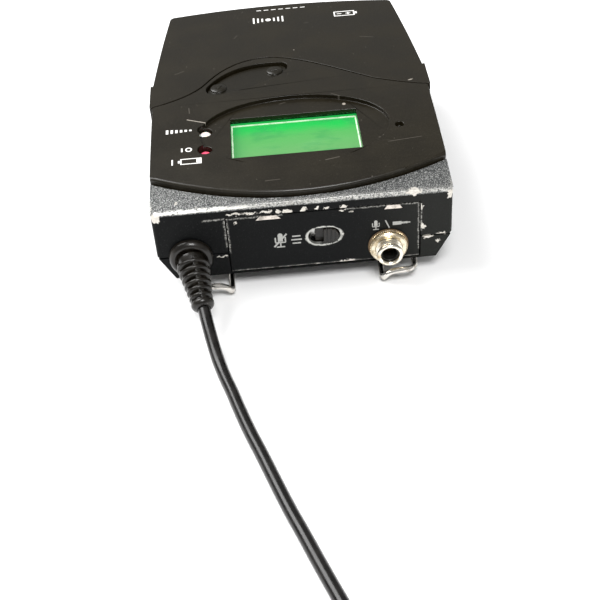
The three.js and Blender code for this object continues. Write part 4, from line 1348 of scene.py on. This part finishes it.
    def lands(self, place: Matrix) -> list[bpy.types.Object]:
        """The small lands that bridge the grooves, turned a little from one groove to the next.

        Args:
            place: The matrix that puts the boot in its place.

        Returns:
            The lands.
        """
        made = []
        for ring in range(self.rings + 1):
            height = (self.first_rib + ring * self.pitch() + 0.1 * self.pitch()) * MM
            radius = (self.rib_radius(min(ring, self.rings - 1)) - 0.6) * MM
            for side, angle in enumerate((78, 168, 258, 348)):
                turn = Matrix.Rotation(math.radians(angle + 4 * (ring % 2)), 4, "Z")
                land = brick(f"land_{ring}_{side}", Vector((radius, 0, height)),
                             mm(0.8, 1.1, 0.8), place @ turn, 0.12)
                made.append(land)
        return made


# ------------------------------------------------------------------ housing and control end


def front(x: float, z: float, wide: float, tall: float, turn: float = 0.0) -> Mark:
    """A mark on the control end."""
    return Mark((x, END_Y, z), (wide, END_DEPTH, tall), turn, Face.END)


def front_oval(x: float, z: float, wide: float, tall: float, line: float = 0.0) -> Oval:
    """An oval mark on the control end."""
    return Oval((x, END_Y, z), (wide, END_OVAL_DEPTH, tall), 0.0, Face.END, line)


@dataclass
class Housing:
    """Metal shells and screws, with their wear."""

    def chips(self) -> list[Mark]:
        """The places where the paint is chipped off.

        Returns:
            The row along the upper edge, then the corners, then the small ones.
        """
        row = [(-14.6, 20.6, 3.4, 0.42), (-11.2, 20.5, 3.0, 0.5), (-8.0, 20.5, 2.6, 0.6),
               (-5.2, 20.3, 1.5, 0.9), (-3.2, 20.3, 2.2, 1.1), (0.2, 20.2, 1.6, 1.3),
               (3.1, 20.3, 0.9, 0.8), (5.2, 20.1, 1.3, 0.9), (8.6, 20.0, 1.3, 0.8)]
        made: list[Mark] = [front_oval(*entry) for entry in row]
        made += [
            Oval((23.7, -38.8, 22.3), (3.4, 2.2, 1.3)),
            Oval((-31.2, -39.1, 21.2), (2.3, 1.6, 2.6)),
            Oval((31.6, -38.8, 21.1), (1.4, 2.2, 2.3)),
            Oval((-26.6, -36.7, 22.6), (0.9, 0.7, 1.0)),
            Oval((-22.3, -38.1, 22.6), (0.6, 0.4, 1.0)),
            front(-18.2, 9.6, 2.4, 0.36),
            front_oval(25.8, 13.1, 1.0, 1.5),
            front_oval(26.8, 10.1, 2.3, 0.9),
            front_oval(29.9, 10.6, 2.4, 0.5),
            front_oval(29.1, 8.7, 0.9, 0.9),
            front(25.4, 18.2, 0.3, 1.4),
        ]
        return made

    def rubbed_and_highlit(self) -> list[Mark]:
        """The edges where the paint is worn thin and carries a painted highlight."""
        return [
            Mark((9, -38.9, 22.3), (48, 1.1, 0.9)),
            Mark((-32.2, -36, 22.6), (0.9, 8, 0.9)),
            Mark((32.2, -36, 22.6), (0.9, 8, 0.9)),
            front(0, 19.5, 42.6, 0.22),
            front(-16.75, 15.5, 0.3, 7.0),
            front(25.3, 15.5, 0.3, 7.0),
        ]

    def polish_and_highlight(self) -> list[Mark]:
        """The edge worn smooth and bright, with a painted highlight along the rounded front edge."""
        return [Mark((-23.6, END_Y, 22.3), (15.4, 0.9, 0.8)),
                Oval((-14.6, END_Y, 22.3), (8.0, 0.7, 0.6))]

    def build(self) -> None:
        """Makes the shells and dresses the screws."""
        paint = HammeredPaint("hammered_paint", self.chips(), self.rubbed_and_highlit(), self.polish_and_highlight()).make()
        upper = worked_copy("upper_housing", "housing_top", 0.2, 3)
        finish_piece(upper, Body.PACK, paint)
        back = worked_copy("back_shell", "housing_back", 0.22)
        finish_piece(back, Body.PACK, paint)
        steel = Metal("zinc_steel", *STEEL, 0.3).make()
        for number in range(1, 5):
            dress_node(f"case_screw_{number}", steel)


@dataclass
class ControlEnd:
    """End plate with its print, mute slide and microphone jack.

    Attributes:
        slot: The middle of the mute slot, in millimetres.
        jack: The middle of the jack on the control end, in millimetres.
        teeth: The number of teeth of the ring nut's knurl.
    """

    slot: tuple[float, float] = (4.35, 12.65)
    jack: tuple[float, float] = (18.2, 8.75)
    teeth: int = 56

    def build(self) -> None:
        """Makes the plate, the slide and the jack."""
        plate = worked_copy("end_plate", "control_plate", 0.1)
        rim = [front_oval(*self.slot, 7.6, 4.95, 0.42)]
        paint = HammeredPaint("plate_paint", self.wear(), self.worn_and_highlit_edges(), rim, self.legends(),
                              (0.46, 0.46, 0.43)).make()
        finish_piece(plate, Body.PACK, paint)
        knob = worked_copy("mute_knob", "mute_slide", 0.07)
        finish_piece(knob, Body.MUTE, Rubber("slide_plastic", 0.3).make())
        self.tabs()
        self.ring_nut()
        self.sleeve()

    def wear(self) -> list[Mark]:
        """The bare patches by the slot and along the plate's edges."""
        x, z = self.slot
        return [
            front_oval(x + 4.2, z + 0.2, 0.7, 0.8),
            front_oval(9.2, 5.1, 3.8, 0.9), front_oval(3.0, 5.0, 2.2, 0.4),
            front_oval(15.4, 5.0, 1.2, 0.5), front_oval(8.3, 19.0, 1.3, 0.6),
            front(-14.4, 18.3, 0.9, 0.25), front(10.2, 18.6, 1.1, 0.2),
        ]

    def worn_and_highlit_edges(self) -> list[Mark]:
        """The bright lines along the plate's edges: worn paint with a painted highlight."""
        return [front(4.3, 5.0, 41.4, 0.3),
                front(-16.3, 14.5, 0.3, 8.6), front(-10.4, 19.3, 12, 0.2),
                front(17.0, 19.35, 15.6, 0.2), front(24.9, 13, 0.24, 12)]

    def legends(self) -> list[Mark]:
        """Plain symbols: a struck-out microphone by the slot, a microphone and a plug by the jack."""
        return [*self.microphone(-5.2, 12.3, 1.5), front(-5.2, 12.4, 0.4, 4.4, -40),
                *[front(-1.7, 12.3 + 0.95 * i, 2.3 - 0.5 * abs(i), 0.36) for i in (-1, 0, 1)],
                *self.microphone(15.6, 14.2, 1.0), front(18.1, 14.3, 0.26, 2.3, 22),
                front(20.2, 14.35, 1.9, 0.9), front(21.8, 14.35, 1.4, 0.5),
                front(22.8, 14.35, 0.5, 0.3)]

    def microphone(self, x: float, z: float, scale: float) -> list[Mark]:
        """A plain microphone symbol.

        Args:
            x: The X of its middle, in millimetres.
            z: The Z of its middle, in millimetres.
            scale: How many times its plain size it is.

        Returns:
            Its strokes.
        """
        return [front(x, z + 0.45 * scale, 0.72 * scale, 1.2 * scale),
                Oval((x, END_Y, z + 1.0 * scale), (0.72 * scale, END_DEPTH, 0.72 * scale), 0.0,
                     Face.END),
                front(x, z - 0.75 * scale, 0.2 * scale, 0.7 * scale),
                front(x, z - 1.1 * scale, 1.2 * scale, 0.22 * scale),
                front(x - 0.72 * scale, z + 0.2 * scale, 0.2 * scale, 0.9 * scale),
                front(x + 0.72 * scale, z + 0.2 * scale, 0.2 * scale, 0.9 * scale),
                front(x, z - 0.32 * scale, 1.5 * scale, 0.2 * scale)]

    def tabs(self) -> None:
        """The two bare snap tabs at the plate's upper edge."""
        bare = Metal("bare_alloy", (0.72, 0.66, 0.60), (0.45, 0.42, 0.38), 0.42).make()
        for name, x, wide in (("snap_tab_left", -7.4, 5.4), ("snap_tab_right", 19.4, 3.9)):
            clear_selection()
            bpy.ops.mesh.primitive_cube_add(size=1, location=mm(x, -38.86, 18.85),
                                            scale=mm(wide, 0.2, 0.95))
            tab = bpy.context.active_object
            tab.name = tab.data.name = name
            bpy.ops.object.transform_apply(location=True, scale=True)
            bpy.ops.object.mode_set(mode="EDIT")
            pick(tab, lambda face: face.normal.z > 0.9)
            bpy.ops.transform.resize(value=(0.68, 1, 1))
            bpy.ops.mesh.select_all(action="SELECT")
            bpy.ops.mesh.bevel(offset=0.05 * MM, segments=2)
            bpy.ops.object.mode_set(mode="OBJECT")
            finish_piece(tab, Body.PACK, bare)

    def jack_place(self, y: float) -> Matrix:
        """The matrix onto the jack's axis, with the foot at a Y in millimetres."""
        return axis_place(mm(self.jack[0], y, self.jack[1]), Vector((0, -1, 0)))

    def ring_nut(self) -> None:
        """The ring nut with its knurled rim, and the washer under it."""
        sides = 2 * self.teeth
        nut = turned("ring_nut", [(3.0, 0.0), (4.0, 0.0), (4.12, 0.12), (4.12, 0.95), (3.9, 1.25),
                                  (3.75, 1.4), (3.0, 1.4)], sides, self.jack_place(-39.1))
        self.bore(nut)
        middle = mm(self.jack[0], 0, self.jack[1])

        def tooth(face: bmesh.types.BMFace) -> bool:
            """Whether a face is one of every second round the rim.

            Args:
                face: The face.

            Returns:
                True for the faces that are sunk between two teeth.
            """
            away = face.calc_center_median() - middle
            around = math.atan2(away.z, away.x) / (2 * math.pi) * sides
            spread = math.hypot(away.x, away.z)
            return spread > 3.95 * MM and abs(face.normal.y) < 0.95 and math.floor(around) % 2 == 0

        take(nut)
        bpy.ops.object.mode_set(mode="EDIT")
        pick(nut, tooth)
        bpy.ops.mesh.inset(thickness=0.03 * MM, depth=-0.2 * MM, use_individual=True)
        bpy.ops.object.mode_set(mode="OBJECT")
        bpy.ops.object.shade_smooth_by_angle(angle=math.radians(20))
        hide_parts("jack_nut")
        pale = Metal("pale_brass", (0.80, 0.72, 0.56), (0.42, 0.33, 0.20), 0.22).make()
        finish_piece(nut, Body.PACK, pale)
        washer = turned("jack_washer", [(3.6, -0.1), (4.3, -0.1), (4.42, -0.02), (4.42, 0.1),
                                        (4.3, 0.18), (3.6, 0.18)], 64, self.jack_place(-39.05))
        bpy.ops.object.shade_smooth_by_angle(angle=math.radians(SMOOTH_ANGLE))
        brown = Metal("dark_brass", (0.16, 0.11, 0.065), (0.07, 0.045, 0.028), 0.34).make()
        finish_piece(washer, Body.PACK, brown)

    def bore(self, piece: bpy.types.Object) -> None:
        """Opens a round piece: its two end discs go, and their outlines are bridged.

        Args:
            piece: The round piece on the jack's axis.
        """
        take(piece)
        bpy.ops.object.mode_set(mode="EDIT")
        pick(piece, lambda face: len(face.verts) > 12)
        bpy.ops.mesh.delete(type="FACE")
        bpy.ops.mesh.select_mode(type="EDGE")
        bpy.ops.mesh.select_all(action="DESELECT")
        bpy.ops.mesh.select_non_manifold()
        bpy.ops.mesh.bridge_edge_loops()
        bpy.ops.mesh.select_all(action="SELECT")
        bpy.ops.mesh.normals_make_consistent(inside=False)
        bpy.ops.object.mode_set(mode="OBJECT")

    def sleeve(self) -> None:
        """The threaded sleeve with its rolled lip, and the dark liner down its bore."""
        profile = [(2.1, 0.0), (2.6, 0.0), (2.6, 2.3)]
        for turn in range(4):
            start = 2.35 + 0.5 * turn
            profile += [(2.88, start), (2.88, start + 0.14), (2.58, start + 0.3),
                        (2.58, start + 0.38)]
        profile += [(2.56, 4.36), (2.56, 4.5), (2.78, 4.6), (2.88, 4.85), (2.84, 5.12),
                    (2.66, 5.34), (2.4, 5.4), (2.14, 5.32), (1.98, 5.1), (1.92, 4.8), (1.92, 0.05)]
        sleeve = turned("jack_barrel", profile, 72, self.jack_place(-37.6))
        self.bore(sleeve)
        bpy.ops.object.shade_smooth_by_angle(angle=math.radians(40))
        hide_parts("jack_sleeve")
        nickel = Metal("nickel_brass", (0.86, 0.81, 0.70), (0.52, 0.40, 0.25), 0.14).make()
        finish_piece(sleeve, Body.PACK, nickel)
        liner = turned("jack_liner", [(1.6, 0.0), (1.9, 0.0), (1.9, 4.5), (1.84, 4.6), (1.74, 4.6),
                                      (1.66, 4.5), (1.6, 4.2), (1.6, 0.05)], 48,
                       self.jack_place(-37.6))
        self.bore(liner)
        bpy.ops.object.shade_smooth_by_angle(angle=math.radians(40))
        insulator = Rubber("jack_insulator", 0.4, (0.006, 0.0056, 0.005)).make()
        finish_piece(liner, Body.PACK, insulator)


# ------------------------------------------------------------------ fascia, display and keys


def top(x: float, y: float, wide: float, long: float, turn: float = 0.0) -> Mark:
    """A mark on the fascia or the door."""
    return Mark((x, y, TOP_Z), (wide, long, TOP_DEPTH), turn)


@dataclass
class Fascia:
    """Crowned fascia with its print and scratches."""

    def scratches(self) -> list[Mark]:
        """The pale scratches and nicks."""
        return [top(-21.9, -10.2, 4.6, 0.26, -24),
                Oval((12.1, -6.7, TOP_Z), (0.8, 0.9, TOP_DEPTH)),
                Oval((28.5, -0.6, TOP_Z), (1.3, 0.3, TOP_DEPTH), 15)]

    def faint(self) -> list[Mark]:
        """The scratches that barely show."""
        return [top(-23.5, -5.6, 0.16, 2.4, 4), top(7.6, -28.1, 3.2, 0.2, 12),
                top(-5.7, -33.5, 3.2, 0.14, 3), top(24.0, -23.6, 7.5, 0.12, 6),
                top(-2.0, -4.1, 1.6, 0.16, 20), top(19.0, -21.6, 1.2, 0.2, 8),
                top(10.4, -4.0, 2.2, 0.14, -35)]

    def legends(self) -> list[Mark]:
        """Plain symbols by the lamps.

        Returns:
            Rising bars by the far lamp, a bar and a ring by the near one, and a low cell.
        """
        bars = [top(-23.2 - 1.05 * i, -13.6, 0.55, 0.55 + 0.2 * i) for i in range(6)]
        switch = [top(-25.1, -20.8, 0.34, 1.35), Oval((-23.6, -20.8, 26), (1.2, 1.2, 40), line=0.3)]
        cell = [top(-23.1, -24.05, 4.6, 0.26), top(-23.1, -25.75, 4.6, 0.26),
                top(-20.9, -24.9, 0.26, 1.9), top(-25.3, -24.9, 0.26, 1.9),
                top(-25.7, -24.9, 0.5, 0.8), top(-21.5, -24.9, 0.8, 1.2),
                top(-27.2, -24.9, 0.32, 1.9)]
        return [*bars, *switch, *cell]

    def lip(self, piece: bpy.types.Object) -> None:
        """Rounds the near lip more than the other edges.

        Args:
            piece: The fascia, in edit mode.
        """

        def near(edge: bmesh.types.BMEdge, middle: Vector) -> bool:
            """Whether an edge lies between the crown and the near side.

            Args:
                edge: The edge.
                middle: The place of its middle.

            Returns:
                True for the edges of the near lip.
            """
            if middle.y > -29.5 * MM or len(edge.link_faces) != 2:
                return False
            flat, side = sorted((face.normal for face in edge.link_faces),
                                key=lambda normal: -normal.z)
            return flat.z > CROWN_LEAST and abs(side.z) < 0.3 and side.y < -0.5

        log.info("the near lip has %d edges", pick_edges(piece, near))
        bpy.ops.mesh.bevel(offset=0.6 * MM, segments=5)

    def build(self) -> None:
        """Makes the fascia."""
        fascia = worked_copy("front_fascia", "fascia", 0.14, 3, self.lip)
        plastic = CasePlastic("fascia_plastic", self.scratches(), self.faint(), self.legends(),
                              0.06).make()
        finish_piece(fascia, Body.PACK, plastic)


@dataclass
class DisplayWindow:
    """Display, its clear window, a thin glowing frame that paints the highlight of the glass edge, and
    the lamps.

    Attributes:
        inset: How far the lit area lies inside the display's outline, in millimetres.
        middle: The X and Y of the frame's middle, in millimetres.
        size: The frame's width and length, in millimetres.
        edge: The width of the frame's four sides, in millimetres.
        lift: How far the frame is above the display, in millimetres.
        rise: The frame's height, in millimetres.
    """

    inset: float = 1.3
    middle: tuple[float, float] = (0.2, -16.95)
    size: tuple[float, float] = (28.7, 15.7)
    edge: float = 0.3
    lift: float = 0.02
    rise: float = 0.2

    def build(self) -> None:
        """Dresses the display and the lamps and makes the frame."""
        low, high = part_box("lcd_glass")
        display = Display("display_green", high.y / MM - self.inset, low.y / MM + self.inset,
                          low.x / MM + self.inset)
        dress_node("lcd_glass", display.make())
        dress_node("display_lens", Clear().make())
        diffuser = Plain("diffuser", (0.80, 0.82, 0.76), (0.70, 0.74, 0.66), 0.4).make()
        dress_node("lcd_light_guide", diffuser)
        self.frame(high.z)
        red = Resin("red_resin", (0.85, 0.11, 0.20), (0.33, 0.008, 0.03), 0.35, 24.68)
        clear = Resin("clear_resin", (0.90, 0.80, 0.76), (0.38, 0.27, 0.25), 0.12, 25.08)
        for node, name, slot, resin in (("lamp_peak", "peak_lamp", Slot.LAMP_CLEAR, clear),
                                        ("lamp_on", "power_lamp", Slot.LAMP_RED, red)):
            lamp = worked_copy(node, name, 0.0)
            finish_piece(lamp, Body.PACK, resin.make())

    def frame(self, glass: float) -> None:
        """A thin glowing frame just inside the window, painting the highlight along the glass edge.

        Args:
            glass: The Z of the display's upper face, in metres.
        """
        clear_selection()
        x, y = self.middle
        bpy.ops.mesh.primitive_plane_add(size=1, location=(x * MM, y * MM, glass + self.lift * MM))
        frame = bpy.context.active_object
        frame.name = frame.data.name = "display_frame"
        bpy.ops.transform.resize(value=(self.size[0] * MM, self.size[1] * MM, 1))
        bpy.ops.object.transform_apply(location=True, scale=True)
        bpy.ops.object.mode_set(mode="EDIT")
        bpy.ops.mesh.select_all(action="SELECT")
        bpy.ops.mesh.inset(thickness=self.edge * MM)
        bpy.ops.mesh.delete(type="FACE")
        bpy.ops.mesh.select_all(action="SELECT")
        bpy.ops.mesh.extrude_region_move(TRANSFORM_OT_translate={"value": (0, 0, self.rise * MM)})
        bpy.ops.mesh.select_all(action="SELECT")
        bpy.ops.mesh.normals_make_consistent(inside=False)
        bpy.ops.object.mode_set(mode="OBJECT")
        # Pale, glowing colour: a painted highlight of the glass edge.
        n = Nodes("glass_edge_glint")
        shade = n.mix(n.step(n.noise(1.5, 3.0), 0.4, 0.7), (0.70, 0.86, 0.66), (0.42, 0.66, 0.42))
        edge = n.dress(Base_Color=shade, Emission_Color=shade, Emission_Strength=0.25, Roughness=0.3)
        finish_piece(frame, Body.PACK, edge)


@dataclass
class Keys:
    """Rocker on the fascia, and the two keys under the door.

    Attributes:
        nubs: The middles of the rocker's raised pads, each with the turn of its arrow in degrees.
        nub_top: The height of the pads, in millimetres.
    """

    nubs: tuple[Point, ...] = ((-16.7, 4.21, 180), (-3.1, 10.29, 0))
    nub_top: float = 26.15

    def arrows(self) -> list[bpy.types.Object]:
        """The raised arrows on the rocker's pads.

        Returns:
            One arrow for each pad.
        """
        made = []
        for x, y, turn in self.nubs:
            clear_selection()
            bpy.ops.mesh.primitive_cone_add(vertices=3, radius1=1.15 * MM, radius2=0.95 * MM,
                                            depth=0.3 * MM, location=mm(x, y, self.nub_top),
                                            rotation=(0, 0, math.radians(turn)))
            arrow = bpy.context.active_object
            bpy.ops.object.transform_apply(location=True, rotation=True)
            bpy.ops.object.mode_set(mode="EDIT")
            bpy.ops.mesh.select_all(action="SELECT")
            bpy.ops.mesh.bevel(offset=0.06 * MM, segments=2)
            bpy.ops.object.mode_set(mode="OBJECT")
            made.append(arrow)
        return made

    def build(self) -> None:
        """Makes the rocker and the keys."""
        rocker = worked_copy("rocker_button", "rocker", 0.12, 3)
        rocker = joined("rocker", [rocker, *self.arrows()])
        plastic = CasePlastic("rocker_plastic", dust=0.04, shade=PRESSED_SHADE).make()
        finish_piece(rocker, Body.ROCKER, plastic)
        rubber = Rubber("key_rubber", 0.4).make()
        for node, name, body in (("power_button", "power_cap", Body.POWER),
                                 ("set_button", "set_cap", Body.SET)):
            cap = worked_copy(node, name, 0.12)
            finish_piece(cap, body, rubber)


# ------------------------------------------------------------------ door and clip


@dataclass
class Door:
    """Battery door with its catches."""

    def legends(self) -> list[Mark]:
        """Plain symbols on the door.

        Returns:
            Waves on both sides of a dot, a cell, and a broken line by the hinge.
        """
        waves = [Oval((-3.4, 35.2, 26.4), (1.4, 1.4, 40))]
        for reach in (1.5, 2.6, 3.7):
            for side in (-1, 1):
                waves.append(top(-3.4 + side * reach, 35.2, 0.42, 0.9 + 0.55 * reach))
        cell = [top(16.2, 36.3, 5.2, 0.34), top(16.2, 34.1, 5.2, 0.34), top(13.7, 35.2, 0.34, 2.4),
                top(18.7, 35.2, 0.34, 2.4), top(19.2, 35.2, 0.6, 1.0), top(17.2, 35.2, 1.2, 0.3),
                top(17.2, 35.2, 0.3, 1.2), top(14.9, 35.2, 1.2, 0.3)]
        line = [top(-5.6 + 1.9 * i, 40.6, 1.2, 0.3) for i in range(7)]
        return [*waves, *cell, *line]

    def scratches(self) -> list[Mark]:
        """The pale nicks of the door."""
        return [Oval((28.4, -0.2, TOP_Z), (1.4, 0.4, TOP_DEPTH), 20),
                Oval((2.2, 18.5, TOP_Z), (0.3, 0.3, TOP_DEPTH))]

    def faint(self) -> list[Mark]:
        """The scratches of the door that barely show."""
        return [top(-26.0, 12.0, 2.6, 0.12, 30), top(20.5, 22.0, 3.4, 0.11, -14),
                top(-12.0, 27.5, 1.8, 0.12, 60)]

    def build(self) -> None:
        """Makes the door, the catches and the hinge pins."""
        door = worked_copy("battery_door", "door", 0.14, 3)
        plastic = CasePlastic("door_plastic", self.scratches(), self.faint(), self.legends()).make()
        finish_piece(door, Body.DOOR, plastic)
        catch = CasePlastic("catch_plastic", dust=0.02, shade=PRESSED_SHADE).make()
        for node, name, body in (("catch_left", "left_press_catch", Body.LEFT_CATCH),
                                 ("catch_right", "right_press_catch", Body.RIGHT_CATCH)):
            piece = worked_copy(node, name, 0.18, 3)
            finish_piece(piece, body, catch)
        steel = Metal("pin_steel", *STEEL, 0.25).make()
        for side in ("left", "right"):
            dress_node(f"hinge_pin_{side}", steel)


@dataclass
class Clip:
    """Wire belt clip."""

    def build(self) -> None:
        """Makes the clip."""
        clip = worked_copy("belt_clip", "wire_clip", 0.0)
        take(clip)
        smooth = clip.modifiers.new("round wire", "SUBSURF")
        smooth.levels = smooth.render_levels = 1
        bpy.ops.object.modifier_apply(modifier=smooth.name)
        bpy.ops.object.shade_smooth()
        wire = Metal("bright_wire", (0.78, 0.75, 0.70), (0.42, 0.38, 0.32), 0.12).make()
        finish_piece(clip, Body.CLIP, wire)


@dataclass
class Inside:
    """What the housing and the door cover."""

    def build(self) -> None:
        """Dresses the nodes inside."""
        steel = Metal("contact_steel", (0.60, 0.60, 0.58), (0.38, 0.37, 0.35), 0.22).make()
        for node in ("contact_bridge", "contact_plus", "contact_minus", "contact_spring_1",
                     "contact_spring_2", "rf_shield", "rocker_switch_down", "rocker_switch_up",
                     "power_switch", "set_switch", "mute_switch_body"):
            dress_node(node, steel)
        board = CircuitBoard().make()
        for node in ("main_board", "display_board", "rocker_board"):
            dress_node(node, board)
        dress_node("battery_1", CellSleeve("cell_sleeve_right", 1).make())
        dress_node("battery_2", CellSleeve("cell_sleeve_left", -1).make())
        dress_node("battery_cradle", CasePlastic("cradle_plastic", dust=0.02).make())
        insulator = Plain("insulator", (0.012, 0.012, 0.012), (0.02, 0.02, 0.02), 0.35).make()
        dress_node("jack_block", insulator)
        brass = Metal("socket_brass", (0.75, 0.6, 0.34), (0.5, 0.4, 0.22), 0.3).make()
        dress_node("antenna_socket", brass)


def main() -> None:
    """Builds the whole transmitter on its frame."""
    logging.basicConfig(level=logging.INFO, format="%(message)s")
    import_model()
    Studio().build()
    for section in (Antenna(), Housing(), ControlEnd(), Fascia(), DisplayWindow(), Keys(), Door(),
                    Clip(), Inside()):
        section.build()
    bpy.context.view_layer.update()


if __name__ == "__main__":
    main()
